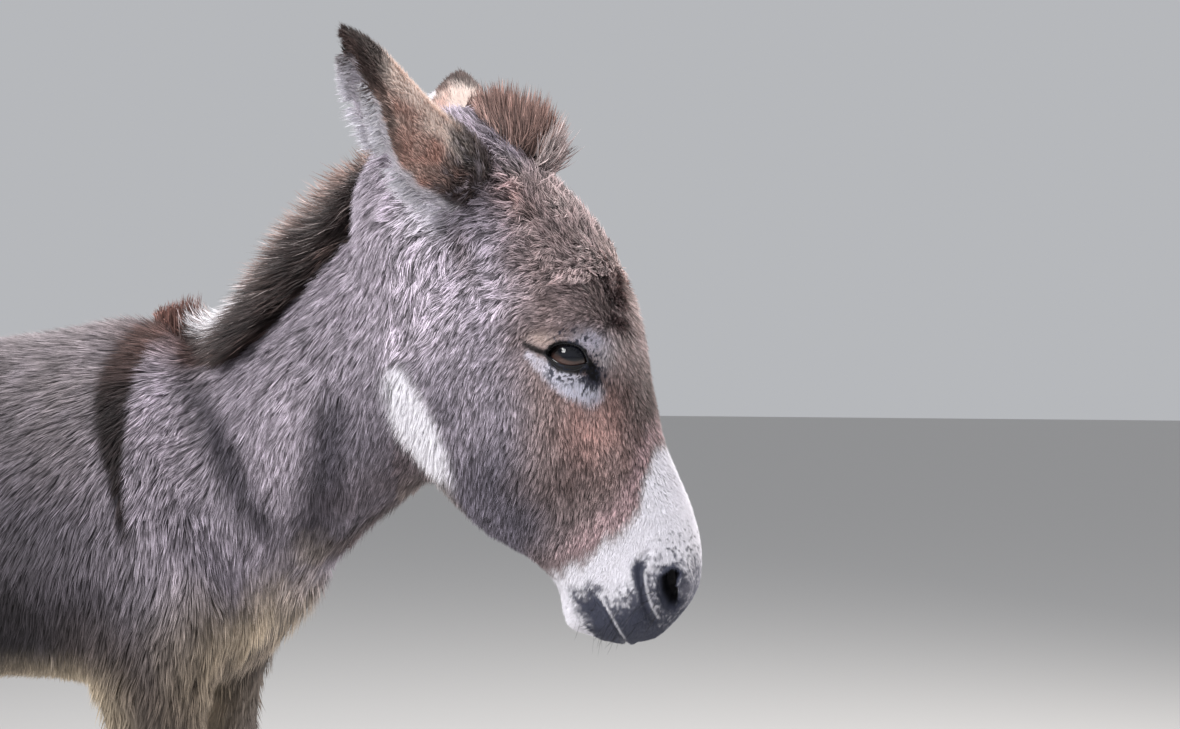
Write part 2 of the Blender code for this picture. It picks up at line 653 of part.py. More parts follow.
# ---------------------------------------------------------------- the whole model
def build():
    clear_scene()
    lofts = [trunk_loft(), neck_loft(), head_loft()]
    lofts += [leg_loft(name + "_loft", stations, line, side) for name, stations, line, side in legs()]
    whole = fuse(lofts)
    shape_surface(whole)
    thin_out(whole)

    skins = {"coat": [], "dark_hair": [], "ear_coat": [], "eye": [], "horn": []}
    for side_name, side in SIDES.items():
        ball = eyeball(f"eye_{side_name}", side)
        socket = grown(ball, GAP)
        boolean(whole, socket, "DIFFERENCE")
        remove(socket)
        skins["eye"].append(ball)
    for name, stations, line, side in list(legs()):
        coronet_cut(whole, stations, line, side)
        skins["horn"].append(hoof(name.replace("leg", "hoof"), stations, line, side))

    body = grown(whole, GAP)
    grown_from = [("ear_coat", ear("ear_right", "right")), ("ear_coat", ear("ear_left", "left")),
                  ("dark_hair", mane()), ("dark_hair", forelock()), ("coat", tail())]
    for kind, piece in grown_from:
        boolean(piece, body, "DIFFERENCE")
        keep_largest(piece)
        skins[kind].append(piece)
    remove(body)
    clear_of(skins["dark_hair"][1], skins["ear_coat"] + [skins["dark_hair"][0]])
    clear_of(skins["dark_hair"][0], skins["ear_coat"])
    skins["coat"] += part_body(whole).values()
    for kind, pieces in skins.items():
        for piece in pieces:
            piece.data.materials.clear()
            piece.data.materials.append(finish(kind))
            piece.data.shade_smooth()
            piece.data.set_sharp_from_angle(angle=math.radians(40))
    centre_on_floor()


def clear_of(piece, others):
    """Cuts a piece clear of its neighbours."""
    for other in others:
        bigger = grown(other, 3 * GAP)
        boolean(piece, bigger, "DIFFERENCE")
        remove(bigger)
        keep_largest(piece)


def centre_on_floor():
    """Puts the origin on the floor under the middle of the model's box."""
    bpy.context.view_layer.update()
    corners = [obj.matrix_world @ v.co for obj in bpy.data.objects for v in obj.data.vertices]
    low = Vector(min(c[k] for c in corners) for k in range(3))
    high = Vector(max(c[k] for c in corners) for k in range(3))
    middle = Vector(((low.x + high.x) / 2, (low.y + high.y) / 2, low.z))
    for obj in bpy.data.objects:
        obj.data.transform(Matrix.Translation(-middle))


build()
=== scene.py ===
import itertools
import math

import bmesh
import bpy
import numpy as np
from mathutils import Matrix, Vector
from mathutils.bvhtree import BVHTree
from mathutils.kdtree import KDTree


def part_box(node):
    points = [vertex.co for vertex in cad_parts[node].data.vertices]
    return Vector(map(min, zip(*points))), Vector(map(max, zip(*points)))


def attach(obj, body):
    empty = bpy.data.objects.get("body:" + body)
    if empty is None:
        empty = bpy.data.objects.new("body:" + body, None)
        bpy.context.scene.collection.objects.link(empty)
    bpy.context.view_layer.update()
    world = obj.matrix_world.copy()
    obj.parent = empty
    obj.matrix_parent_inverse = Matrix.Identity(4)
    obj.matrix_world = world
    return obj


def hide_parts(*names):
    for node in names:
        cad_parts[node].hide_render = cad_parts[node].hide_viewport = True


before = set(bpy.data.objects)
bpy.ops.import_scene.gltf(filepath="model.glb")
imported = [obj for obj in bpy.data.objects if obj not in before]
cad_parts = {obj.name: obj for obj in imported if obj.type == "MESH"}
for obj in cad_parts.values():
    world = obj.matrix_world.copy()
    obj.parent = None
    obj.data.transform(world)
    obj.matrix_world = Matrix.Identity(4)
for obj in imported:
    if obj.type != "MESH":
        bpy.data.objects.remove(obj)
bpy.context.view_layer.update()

# A standing donkey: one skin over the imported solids, eyes, hooves, and a coat of solid tufts.
# Lengths are metres. The design frame is the part's own, before it was centred on the floor;
# the head's frame has its origin at the poll, runs along the face, up from it and out to the left.

rng = np.random.default_rng(11)

HEADING = math.radians(10.0)
DROOP = math.radians(69.0)
POLL = np.array((0.413, -0.137, 1.205))
HEAD = np.array((
    (math.cos(HEADING) * math.cos(DROOP), math.sin(HEADING) * math.cos(DROOP), -math.sin(DROOP)),
    (math.cos(HEADING) * math.sin(DROOP), math.sin(HEADING) * math.sin(DROOP), math.cos(DROOP)),
    (-math.sin(HEADING), math.cos(HEADING), 0.0)))
EYE_AT = np.array((0.224, -0.0095, 0.075))
EYE_RADIUS = 0.0185
SIDES = {"right": -1, "left": 1}
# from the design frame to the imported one
SHIFT = sum(np.array(c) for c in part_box("eye_right")) / 2 - (POLL + (EYE_AT * (1, 1, -1)) @ HEAD)

FLESH = ("head", "neck", "trunk", "tail", "foreleg_right", "foreleg_left", "hindleg_right", "hindleg_left")
LID = len(FLESH)        # label of the skin's points that are lids; the flesh nodes come before
EAR = {"right": LID + 1, "left": LID + 2}
BODY_CELL = 0.0074      # cell of the remesh that makes one skin of the solids
EAR_CELL = 0.0029
HOOF_CELL = 0.0028
SKIN_DEPTH = 0.38       # how far the skin lies inside the solids, as a share of the hair's length
DOCK_END = 0.5         # height at which the tail's flesh begins to give way to its tuft
INTO_HOOF = 0.016       # how far the skin of a leg goes down into the horn
CORONET_FLARE = 0.15    # how much wider it gets there


# ---------------------------------------------------------------- small helpers

def unit(v):
    return v / np.maximum(np.linalg.norm(v, axis=-1, keepdims=True), 1e-9)


def step(low, high, x):
    s = np.clip((x - low) / (high - low), 0.0, 1.0)
    return s * s * (3 - 2 * s)


def bump(x, centre, radius):
    return np.exp(-((x - centre) / radius) ** 2)


def blob(points, centre, radius):
    """1 at the centre, fading to 0 over the radius, which may differ by axis."""
    return np.exp(-(((points - np.array(centre)) / radius) ** 2).sum(-1))


def mix(a, b, share):
    """Each point's colour on the way from a to b; either may be one colour for all points."""
    return a + (b - a) * np.asarray(share)[..., None]


def within(shade):
    """Colours brought down to 1 where they pass it, with their hue kept."""
    return shade / np.maximum(shade.max(1), 1)[:, None]


def to_head(points):
    return (points - POLL) @ HEAD.T


def from_head(points):
    return POLL + np.asarray(points, float) @ HEAD


def lattice(cell, seed):
    h = cell[..., 0] * 73856093 ^ cell[..., 1] * 19349663 ^ cell[..., 2] * 83492791 ^ seed * 961748941
    h = (h ^ (h >> 13)) * 1274126177 & 0xFFFFFFFF
    return ((h ^ (h >> 16)) & 0xFFFF) / 65535.0


def noise(points, size, seed):
    """Smooth random values from -1 to 1 that change over about size."""
    q = points / size + 5000.0
    cell = np.floor(q).astype(np.int64)
    f = q - cell
    f = f * f * (3 - 2 * f)
    total = np.zeros(len(points))
    for corner in itertools.product((0, 1), repeat=3):
        weight = np.prod(np.where(corner, f, 1 - f), axis=-1)
        total += weight * lattice(cell + corner, seed)
    return total * 2 - 1


def near_line(points, line):
    """Distance to a bent line, and the place along it from 0 to 1."""
    line = np.array(line, float)
    lengths = np.linalg.norm(np.diff(line, axis=0), axis=1)
    best = np.full(len(points), 9.0)
    place = np.zeros(len(points))
    for k, (a, b) in enumerate(zip(line[:-1], line[1:])):
        d = b - a
        t = np.clip((points - a) @ d / (d @ d), 0, 1)
        gap = np.linalg.norm(points - a - t[:, None] * d, axis=1)
        closer = gap < best
        best = np.where(closer, gap, best)
        place = np.where(closer, (lengths[:k].sum() + t * lengths[k]) / lengths.sum(), place)
    return best, place


def gap_to(points, line):
    """Distance to a bent line."""
    return near_line(points, line)[0]


def on_line(line, x):
    """The height of a bent line over x."""
    return np.interp(x, *zip(*line))


def spline(p, t):
    """A smooth curve between the middle two of four points, at t from 0 to 1."""
    return 0.5 * (2 * p[1] + (p[2] - p[0]) * t + (2 * p[0] - 5 * p[1] + 4 * p[2] - p[3]) * t * t
                  + (3 * p[1] - p[0] - 3 * p[2] + p[3]) * t ** 3)


def colour(red, green, blue):
    """A colour named in screen values, as the linear light the materials use."""
    c = np.array((red, green, blue)) / 255.0
    return np.where(c <= 0.04045, c / 12.92, ((c + 0.055) / 1.055) ** 2.4)


# ---------------------------------------------------------------- surfaces as arrays

def solid(node):
    """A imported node's welded points and triangles, in the design frame."""
    mesh = bmesh.new()
    mesh.from_mesh(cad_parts[node].data)
    bmesh.ops.remove_doubles(mesh, verts=mesh.verts, dist=1e-5)
    bmesh.ops.triangulate(mesh, faces=mesh.faces)
    mesh.verts.index_update()
    points = np.array([v.co for v in mesh.verts]) - SHIFT
    tris = np.array([[v.index for v in f.verts] for f in mesh.faces])
    mesh.free()
    return points, tris


def stacked(parts):
    """Several surfaces as one pair of arrays."""
    points, tris, base = [], [], 0
    for p, t in parts:
        points.append(p)
        tris.append(t + base)
        base += len(p)
    return np.concatenate(points), np.concatenate(tris)


def normals(points, tris):
    a, b, c = (points[tris[:, k]] for k in range(3))
    face = np.cross(b - a, c - a)
    total = np.empty_like(points)
    for axis in range(3):
        total[:, axis] = sum(np.bincount(tris[:, k], face[:, axis], len(points)) for k in range(3))
    return unit(total)


def areas(points, tris):
    a, b, c = (points[tris[:, k]] for k in range(3))
    return np.linalg.norm(np.cross(b - a, c - a), axis=1) / 2


def volume(points, tris):
    a, b, c = (points[tris[:, k]] - points[0] for k in range(3))
    return (np.cross(a, b) * c).sum() / 6


def fused(parts, cell, grow=0.0):
    """One closed surface round all the parts, by voxel remesh, as points and triangles."""
    points, tris = stacked([(p + normals(p, t) * grow, t) for p, t in parts])
    mesh = bpy.data.meshes.new("fused")
    mesh.from_pydata(points.tolist(), [], tris.tolist())
    obj = bpy.data.objects.new("fused", mesh)
    bpy.context.scene.collection.objects.link(obj)
    remesh = obj.modifiers.new("Remesh", "REMESH")
    remesh.mode = "VOXEL"
    remesh.voxel_size = cell
    whole = obj.evaluated_get(bpy.context.evaluated_depsgraph_get())
    done = whole.to_mesh()
    done.calc_loop_triangles()
    points = np.empty(len(done.vertices) * 3)
    done.vertices.foreach_get("co", points)
    tris = np.empty(len(done.loop_triangles) * 3, np.int64)
    done.loop_triangles.foreach_get("vertices", tris)
    whole.to_mesh_clear()
    bpy.data.objects.remove(obj)
    bpy.data.meshes.remove(mesh)
    return points.reshape(-1, 3), tris.reshape(-1, 3)


def refined(points, tris, zone):
    """Splits every edge whose two ends lie in the zone."""
    pairs = np.sort(np.concatenate([tris[:, [0, 1]], tris[:, [1, 2]], tris[:, [2, 0]]]), axis=1)
    marked = zone[pairs].all(1)
    keys, inverse = np.unique(pairs[marked] @ (len(points), 1), return_inverse=True)
    middle = np.full(len(pairs), -1)
    middle[marked] = len(points) + inverse.ravel()
    m = middle.reshape(3, -1).T
    full, single = (m >= 0).all(1), (m >= 0).sum(1) == 1
    (a, b, c), (x, y, z) = tris[full].T, m[full].T
    out = [tris[~full & ~single]] + [np.stack(t, 1) for t in ((a, x, z), (x, b, y), (z, y, c), (x, y, z))]
    for k in range(3):
        chosen = single & (m[:, k] >= 0)
        a, b, c = (tris[chosen, (k + j) % 3] for j in range(3))
        x = m[chosen, k]
        out += [np.stack((a, x, c), 1), np.stack((x, b, c), 1)]
    added = (points[keys // len(points)] + points[keys % len(points)]) / 2
    return np.concatenate([points, added]), np.concatenate(out)


class Net:
    """Which points of a surface neighbour which, for smoothing values over it."""

    def __init__(self, count, tris):
        ends = np.concatenate([tris[:, [0, 1]], tris[:, [1, 2]], tris[:, [2, 0]]])
        ends = np.concatenate([ends, ends[:, ::-1]])
        keys = np.unique(ends[:, 0] * count + ends[:, 1])
        self.near = keys % count
        self.first = np.searchsorted(keys // count, np.arange(count))
        self.share = 1.0 / np.bincount(keys // count, minlength=count)

    def smooth(self, values, rounds, strength=0.5, where=None):
        flat = values.ndim == 1
        out = values.reshape(len(values), -1).astype(float)
        amount = strength if where is None else strength * where[:, None]
        for _ in range(rounds):
            mean = np.add.reduceat(out[self.near], self.first) * self.share[:, None]
            out = out + (mean - out) * amount
        return out[:, 0] if flat else out


# ---------------------------------------------------------------- lie and length of the coat

# place, the way the hair lies, its length in mm, and how much it curls, for the right side;
# in the head's frame for the head, in the design frame for the body
HEAD_LIE = (
    ((0.475, 0.0, 0.02), (0.6, -0.8, 0.0), 2.5, 0), ((0.455, -0.03, 0.05), (0.8, -0.5, 0.0), 2.5, 0),
    ((0.47, -0.08, 0.015), (0.2, -1.0, 0.0), 3, 0), ((0.445, -0.1, 0.02), (0.3, -0.9, 0.0), 5, 0),
    ((0.41, 0.036, 0.0), (1.0, 0.0, 0.0), 4, 0), ((0.4, 0.0, 0.05), (0.9, -0.4, 0.0), 5, 0),
    ((0.41, -0.06, 0.045), (0.9, -0.4, 0.0), 6, 0), ((0.4, -0.105, 0.0), (0.7, -0.7, 0.0), 9, 0),
    ((0.33, 0.04, 0.0), (1.0, 0.0, 0.0), 7, 0.1), ((0.33, 0.0, 0.055), (0.9, -0.4, 0.0), 9, 0.1),
    ((0.34, -0.09, 0.05), (0.8, -0.6, 0.0), 14, 0.1), ((0.33, -0.16, 0.0), (0.7, -0.7, 0.0), 15, 0),
    ((0.26, 0.05, 0.0), (1.0, 0.0, 0.1), 10, 0.3), ((0.265, 0.02, 0.06), (0.9, -0.3, 0.1), 7, 0.1),
    ((0.25, -0.055, 0.085), (0.85, -0.5, 0.0), 11, 0), ((0.255, -0.11, 0.07), (0.75, -0.65, 0.0), 15, 0),
    ((0.23, -0.18, 0.03), (0.75, -0.65, 0.0), 17, 0), ((0.195, 0.006, 0.09), (-0.1, -1.0, 0.1), 7, 0.2),
    ((0.246, -0.026, 0.085), (0.8, -0.6, 0.0), 6, 0), ((0.205, -0.052, 0.09), (0.55, -0.85, 0.0), 9, 0),
    ((0.19, 0.06, 0.0), (0.3, 0.5, 0.2), 14, 0.7), ((0.17, 0.05, 0.05), (-0.3, -0.4, 0.7), 14, 0.7),
    ((0.12, 0.055, 0.01), (-0.8, 0.4, 0.2), 18, 1.0), ((0.12, 0.03, 0.07), (-0.4, -0.5, 0.5), 16, 0.8),
    ((0.06, 0.035, 0.02), (-0.8, 0.5, 0.2), 24, 1.0), ((0.14, -0.03, 0.09), (0.3, -0.9, 0.1), 14, 0.4),
    ((0.16, -0.1, 0.09), (0.6, -0.8, 0.0), 15, 0.1), ((0.11, -0.16, 0.07), (0.7, -0.7, 0.0), 18, 0.1),
    ((0.06, -0.05, 0.075), (0.3, -0.8, 0.0), 18, 0.3), ((0.04, -0.13, 0.065), (0.6, -0.7, 0.0), 20, 0.2),
    ((0.0, 0.0, 0.0), (-0.6, 0.3, 0.3), 20, 0.6))
BODY_LIE = (
    ((0.34, -0.2, 1.08), (-0.35, -0.15, -0.93), 22, 0.3),
    ((0.25, -0.17, 1.12), (-0.6, -0.35, -0.75), 24, 0.5),
    ((0.25, -0.2, 0.98), (-0.4, -0.05, -0.92), 25, 0.4), ((0.36, -0.16, 0.92), (-0.3, 0.0, -0.95), 22, 0.1),
    ((0.24, -0.1, 0.82), (-0.2, 0.0, -0.98), 28, 0.1), ((0.14, -0.13, 1.02), (-0.6, -0.25, -0.8), 26, 0.5),
    ((0.1, -0.13, 0.9), (-0.45, -0.1, -0.88), 26, 0.4), ((0.16, -0.09, 0.78), (-0.15, 0.0, -0.99), 30, 0.1),
    ((0.14, -0.02, 0.69), (0.05, 0.0, -1.0), 36, 0.3), ((0.06, 0.0, 0.63), (-0.4, 0.0, -0.9), 34, 0.3),
    ((-0.03, 0.0, 1.035), (-0.95, -0.2, 0.0), 24, 0.2), ((-0.04, -0.15, 0.9), (-0.5, -0.05, -0.86), 22, 0.1),
    ((0.06, -0.15, 0.76), (-0.3, 0.0, -0.95), 24, 0.1), ((-0.3, 0.0, 0.99), (-0.97, -0.25, 0.0), 22, 0.1),
    ((-0.28, -0.16, 0.93), (-0.85, -0.2, -0.45), 22, 0.1), ((-0.3, -0.23, 0.8), (-0.75, 0.0, -0.65), 24, 0.1),
    ((-0.3, -0.17, 0.67), (-0.7, 0.15, -0.7), 28, 0.1), ((-0.3, 0.0, 0.61), (-0.9, 0.0, -0.35), 32, 0.2),
    ((-0.1, -0.15, 0.68), (-0.4, 0.0, -0.92), 22, 0.1), ((-0.6, 0.0, 1.0), (-0.98, -0.2, 0.0), 22, 0.1),
    ((-0.58, -0.21, 0.8), (-0.65, 0.0, -0.75), 24, 0.2), ((-0.58, -0.08, 0.64), (-0.6, 0.0, -0.7), 28, 0.1),
    ((-0.8, -0.11, 0.96), (-0.75, -0.25, -0.6), 20, 0.1),
    ((-0.77, -0.18, 0.76), (-0.35, 0.0, -0.93), 20, 0.1),
    ((-0.89, -0.07, 0.85), (-0.15, 0.0, -0.98), 17, 0), ((-0.7, -0.05, 0.6), (-0.1, 0.0, -1.0), 14, 0),
    ((-0.76, -0.13, 0.5), (-0.2, 0.0, -0.98), 16, 0), ((-0.8, -0.11, 0.25), (0.0, 0.0, -1.0), 11, 0),
    ((-0.78, -0.1, 0.1), (-0.2, 0.0, -0.98), 16, 0.1), ((0.0, -0.11, 0.52), (-0.1, 0.0, -1.0), 16, 0),
    ((0.01, -0.1, 0.25), (0.0, 0.0, -1.0), 11, 0), ((0.03, -0.1, 0.1), (-0.2, 0.0, -0.98), 16, 0.1),
    ((-0.9, 0.0, 0.92), (-0.6, 0.0, -0.8), 15, 0), ((-0.95, 0.0, 0.7), (0.0, 0.0, -1.0), 15, 0))
NECK_MIDDLE = ((-2.0, 0.0), (0.0, 0.0), (0.1, -0.034), (0.2, -0.08), (0.28, -0.118), (0.42, -0.14),
               (2.0, -0.14))


def middle_of(x):
    """Where the bent neck's middle plane lies."""
    return on_line(NECK_MIDDLE, x)


def to_plane(points):
    """Places in the bent neck's own plane, mirrored to the right side."""
    return np.column_stack([points[:, 0], -np.abs(points[:, 1] - middle_of(points[:, 0])), points[:, 2]])


def lie_table():
    rows = []
    for side in SIDES.values():
        for place, way, length, curl in HEAD_LIE:
            flip = np.array((1, 1, side))
            rows.append((*from_head(place * flip), *(np.array(way) * flip @ HEAD), length, curl))
        for place, way, length, curl in BODY_LIE:
            middle = middle_of(place[0])
            out = (place[1] - middle) * -side
            rows.append((place[0], middle + out, place[2], way[0], way[1] * -side, way[2], length, curl))
    return np.array(rows)


LIE = lie_table()
LIE_NEAR = 0.035       # how closely the coat follows the nearest row


def coat_field(points):
    """The way the hair lies (not yet flat on the skin), its length in metres, and its curl."""
    total, weight = np.zeros((len(points), 5)), np.zeros(len(points))
    for row in LIE:
        gap = ((points - row[:3]) ** 2).sum(1) + LIE_NEAR ** 2
        w = gap ** -2.2
        values = np.concatenate([row[3:6] / np.linalg.norm(row[3:6]), (row[6] / 1000.0, row[7])])
        total += w[:, None] * values
        weight += w
    total /= weight[:, None]
    return unit(total[:, :3]), total[:, 3], total[:, 4]


# Folds in the neck's own plane, pressed into the skin, with painted shade along them in the coat.
# FOLD runs down in front of the shoulder, GROOVE between throat and chest.
FOLD = ((0.03, -0.05, 0.985), (0.037, -0.057, 0.969), (0.081, -0.082, 0.939), (0.11, -0.088, 0.9),
        (0.129, -0.078, 0.86), (0.146, -0.055, 0.819))
GROOVE = ((0.262, -0.078, 0.935), (0.245, -0.064, 0.905), (0.225, -0.038, 0.853), (0.19, -0.015, 0.81))


# ---------------------------------------------------------------- the eye's own frame

FISSURE = unit(np.array((0.5275, 0.8495)))              # from the back corner to the front one
BROWWARD = np.array((-FISSURE[1], FISSURE[0]))
EYE_MIDDLE = np.array((0.2222, -0.0115))
OPENING = ((-0.0172, -0.0006), (-0.014, 0.0046), (-0.0085, 0.0088), (0.0, 0.011), (0.009, 0.01),
           (0.015, 0.0058), (0.0192, -0.0026), (0.014, -0.0058), (0.0065, -0.0079), (-0.0035, -0.0077),
           (-0.011, -0.005))                          # the rim of the lids, round the eye
RIM = OPENING + OPENING[:1]
BALL_AT = np.array(((EYE_AT[:2] - EYE_MIDDLE) @ FISSURE, (EYE_AT[:2] - EYE_MIDDLE) @ BROWWARD))
EYE_BLEND = (0.032, 0.046)      # over these distances from the eye its form gives way to the face's
LID_REACH = 0.031
LID_THICK = 0.0022


def eye_frame(side):
    """Origin at the eyeball's centre; rows are along the opening, up to the brow, and out."""
    h = np.array((1, 1, side))
    out = unit(np.array((0.1, 0.1, 1.0)))
    fore = np.array((*FISSURE, 0.0))
    fore = unit(fore - out * (fore @ out))
    brow = np.cross(out, fore)
    return from_head(EYE_AT * h), np.stack([(v * h) @ HEAD for v in (fore, brow, out)])


def in_eye(points, side):
    """Places in an eye's frame, from the middle of its opening."""
    centre, rows = eye_frame(side)
    return (points - centre) @ rows.T + (*BALL_AT, 0.0)


def out_of_eye(local, side):
    centre, rows = eye_frame(side)
    return centre + (local - (*BALL_AT, 0.0)) @ rows


def over_ball(flat, above):
    """How far out a surface lies that runs so much above the eyeball."""
    square = (EYE_RADIUS + above) ** 2 - ((flat - BALL_AT) ** 2).sum(1)
    return np.sqrt(np.maximum(square, (0.4 * EYE_RADIUS) ** 2))


def lid_height(a, b, fit):
    """How far out the lids lie: the face's own curve, swelling over the ball, with folds."""
    terms = np.stack([np.ones_like(a), a, b, a * a, a * b, b * b], -1)
    face = terms @ fit
    r2 = (a - BALL_AT[0]) ** 2 + (b - BALL_AT[1]) ** 2
    ball = np.sqrt(np.maximum((EYE_RADIUS + LID_THICK) ** 2 - r2, 0.0))
    soft = 0.003
    height = soft * np.logaddexp(face / soft, ball / soft)
    flat = np.stack([a, b], -1)
    gap = gap_to(flat, RIM)
    upper = step(-0.004, 0.004, b)
    height -= 0.0012 * bump(gap, 0.007, 0.0013) * upper * step(0.026, 0.014, np.abs(a))
    height -= 0.0007 * bump(gap, 0.0115, 0.0014) * upper
    height -= 0.0011 * bump(gap, 0.0055, 0.0014) * (1 - upper)
    height -= 0.0006 * bump(gap, 0.0095, 0.0014) * (1 - upper)
    height += 0.003 * blob(flat, (0.002, 0.026), (0.018, 0.008))
    back = gap_to(flat, ((-0.021, -0.001), (-0.034, -0.003)))
    front = gap_to(flat, ((0.0215, -0.0035), (0.029, -0.01)))
    height -= 0.0026 * bump(back, 0, 0.0022) + 0.0016 * bump(front, 0, 0.0025)
    return height


def opening_rim(turn):
    """The rim of the opening at each turn round its middle."""
    rim = np.array(OPENING)
    smooth = []
    for k in range(len(rim)):
        p = rim.take(range(k - 1, k + 3), axis=0, mode="wrap")
        for t in np.linspace(0, 1, 24, endpoint=False):
            smooth.append(spline(p, t))
    smooth = np.array(smooth)
    angle = np.arctan2(smooth[:, 1], smooth[:, 0])
    order = np.argsort(angle)
    angle, smooth = angle[order], smooth[order]
    want = (turn + math.pi) % (2 * math.pi) - math.pi
    return np.stack([np.interp(want, angle, smooth[:, k], period=2 * math.pi) for k in (0, 1)], -1)


def lids(side, fit):
    """The lids as rings, from inside the opening's rim out to the face."""
    turn = np.linspace(0, 2 * math.pi, 120, endpoint=False)
    rim = opening_rim(turn)
    inward = unit(rim)
    rings = []
    for into, above in ((0.0016, -0.001), (0.0002, 0.0001), (-0.0001, 0.0008), (-0.0006, 0.0016)):
        flat = rim - inward * into
        rings.append(np.column_stack([flat, over_ball(flat, above)]))
    far = np.stack([np.cos(turn), np.sin(turn)], -1) * LID_REACH
    for s in np.linspace(0.035, 1, 26):
        flat = rim + inward * 0.0006 + (far - rim) * s ** 1.25
        high = lid_height(flat[:, 0], flat[:, 1], fit) - 0.0005 * step(0.9, 1.0, s)
        edge = rings[3][:, 2] + 0.0008
        high = high + (edge - high) * (1 - step(0.0, 0.1, s))
        rings.append(np.column_stack([flat, high]))
    points = out_of_eye(np.concatenate(rings), side)
    count = len(turn)
    tris = []
    for k in range(len(rings) - 1):
        i = np.arange(count)
        a, b = i + k * count, (i + 1) % count + k * count
        c, d = b + count, a + count
        tris += [np.stack((a, b, c), 1), np.stack((a, c, d), 1)]
    tris = np.concatenate(tris)
    if side < 0:
        tris = tris[:, ::-1]
    return points, tris


# ---------------------------------------------------------------- forms of the muzzle and face

NOSTRIL = ((0.44, 0.004), (0.445, -0.0035), (0.454, -0.0065), (0.464, -0.007), (0.469, -0.004))
WING_CREASE = ((0.412, -0.008), (0.418, -0.019), (0.434, -0.024), (0.456, -0.0275), (0.474, -0.027))
WING_RIM = ((0.424, -0.011), (0.43, -0.018), (0.445, -0.0215), (0.46, -0.023), (0.473, -0.022))
MOUTH = ((0.43, -0.068), (0.444, -0.065), (0.462, -0.0632), (0.478, -0.062), (0.52, -0.061))
FACE_FORMS = (      # place in the head's frame, radius, height
    ((0.446, -0.015, 0.052), 0.01, 0.0032),     # wing of the nostril
    ((0.46, -0.016, 0.048), 0.009, 0.0026),
    ((0.452, 0.013, 0.04), 0.012, 0.003),      # fold in front of the nostril
    ((0.436, 0.012, 0.046), 0.01, 0.0016),
    ((0.47, -0.046, 0.034), 0.012, 0.0022),     # upper lip
    ((0.486, -0.04, 0.01), 0.012, 0.002),
    ((0.462, -0.078, 0.032), 0.009, 0.0016),     # lower lip
    ((0.475, -0.076, 0.012), 0.01, 0.0026),
    ((0.452, -0.098, 0.016), 0.014, 0.004),     # chin
    ((0.418, -0.104, 0.02), 0.014, -0.003),    # behind the chin
    ((0.424, -0.06, 0.052), 0.01, 0.002),     # corner of the mouth
    ((0.3, -0.05, 0.066), 0.016, 0.002),     # ridge of the cheek bone
    ((0.275, -0.044, 0.074), 0.016, 0.0022),
    ((0.29, -0.08, 0.066), 0.02, -0.003),    # hollow under it
    ((0.32, 0.014, 0.05), 0.02, -0.002),     # hollow beside the nose
    ((0.12, 0.01, 0.082), 0.018, -0.004),     # hollow over the eye
    ((0.15, -0.06, 0.092), 0.016, -0.0025),    # behind the eye
    ((0.2, -0.112, 0.09), 0.03, 0.003))     # round of the jaw


def face_shape(points, tris):
    """Presses the nostrils, lips and folds into the head's surface."""
    h = to_head(points)
    q = np.column_stack([h[:, 0], h[:, 1], np.abs(h[:, 2])])
    sign = np.where(h[:, 2] < 0, -1.0, 1.0)
    near = h[:, 0] > 0.36
    n = normals(points, tris)
    push = np.zeros(len(points))
    for place, radius, height in FACE_FORMS:
        push += height * blob(q, place, radius)
    flat, side = q[:, :2], step(0.012, 0.03, q[:, 2])
    crease = gap_to(flat, WING_CREASE)
    rim = gap_to(flat, WING_RIM)
    push -= 0.003 * bump(crease, 0, 0.0032) * side * near
    push += 0.001 * bump(rim, 0, 0.0022) * side * near
    line = on_line(MOUTH, q[:, 0])
    opens = step(0.428, 0.436, q[:, 0])
    push -= 0.0052 * bump(q[:, 1] - line, 0, 0.002) * opens
    push += 0.0016 * bump(q[:, 1] - line, 0.0052, 0.0034) * opens
    push -= 0.001 * bump(q[:, 1] - line, -0.014, 0.006) * opens
    philtrum = bump(h[:, 2], 0, 0.004) * step(0.46, 0.475, q[:, 0]) * step(-0.06, -0.04, q[:, 1])
    push -= 0.0012 * philtrum
    points = points + n * push[:, None]
    gap, place = near_line(flat, NOSTRIL)
    width = 0.0072 * (0.45 + 0.75 * np.sin(math.pi * (0.12 + 0.8 * place)))
    hole = step(1.2, 0.45, gap / width) * side * near * step(0.03, 0.04, q[:, 2])
    into = np.stack([np.full(len(q), -0.45), np.full(len(q), 0.3), -sign], 1)
    points = points + (unit(into) @ HEAD) * (0.02 * hole)[:, None]
    ring = bump(gap / width, 1.35, 0.3) * side * near * step(0.034, 0.044, q[:, 2])
    return points + n * (0.0016 * ring)[:, None], hole


# ---------------------------------------------------------------- ears

EAR_ROOT = (0.036, -0.036, 0.052)
EAR_TIP = {"right": np.array((0.35, -0.363, 1.262)), "left": np.array((0.3, 0.04, 1.291))}
EAR_MOUTH = np.array((-0.75, 0.17, -0.64))


def ear_frame(side_name):
    """Root, and rows along the ear, towards its opening, and across."""
    side = SIDES[side_name]
    root = from_head(np.array(EAR_ROOT) * (1, 1, side))
    axis = unit(EAR_TIP[side_name] - root)
    mouth = EAR_MOUTH * (1, side, 1)
    mouth = unit(mouth - axis * (mouth @ axis))
    length = np.linalg.norm(EAR_TIP[side_name] - root)
    return root, np.stack([axis, mouth, np.cross(axis, mouth)]), length


def in_ear(points, side_name):
    """Places in an ear's frame, and how far along it they lie, from 0 to 1."""
    root, rows, length = ear_frame(side_name)
    local = (points - root) @ rows.T
    return local, local[:, 0] / length


def ear_rims():
    """How far towards its opening an ear's edge stands, at steps along the ear."""
    local, s = in_ear(solid("ear_right")[0], "right")
    places = np.linspace(0.0, 1.0, 13)
    return places, np.array([local[np.abs(s - p) < 0.09, 1].max() for p in places])


EAR_RIMS = ear_rims()


def ear_rim_of(s, toward):
    """How far below the ear's edge a point lies."""
    return np.interp(s, *EAR_RIMS) - toward


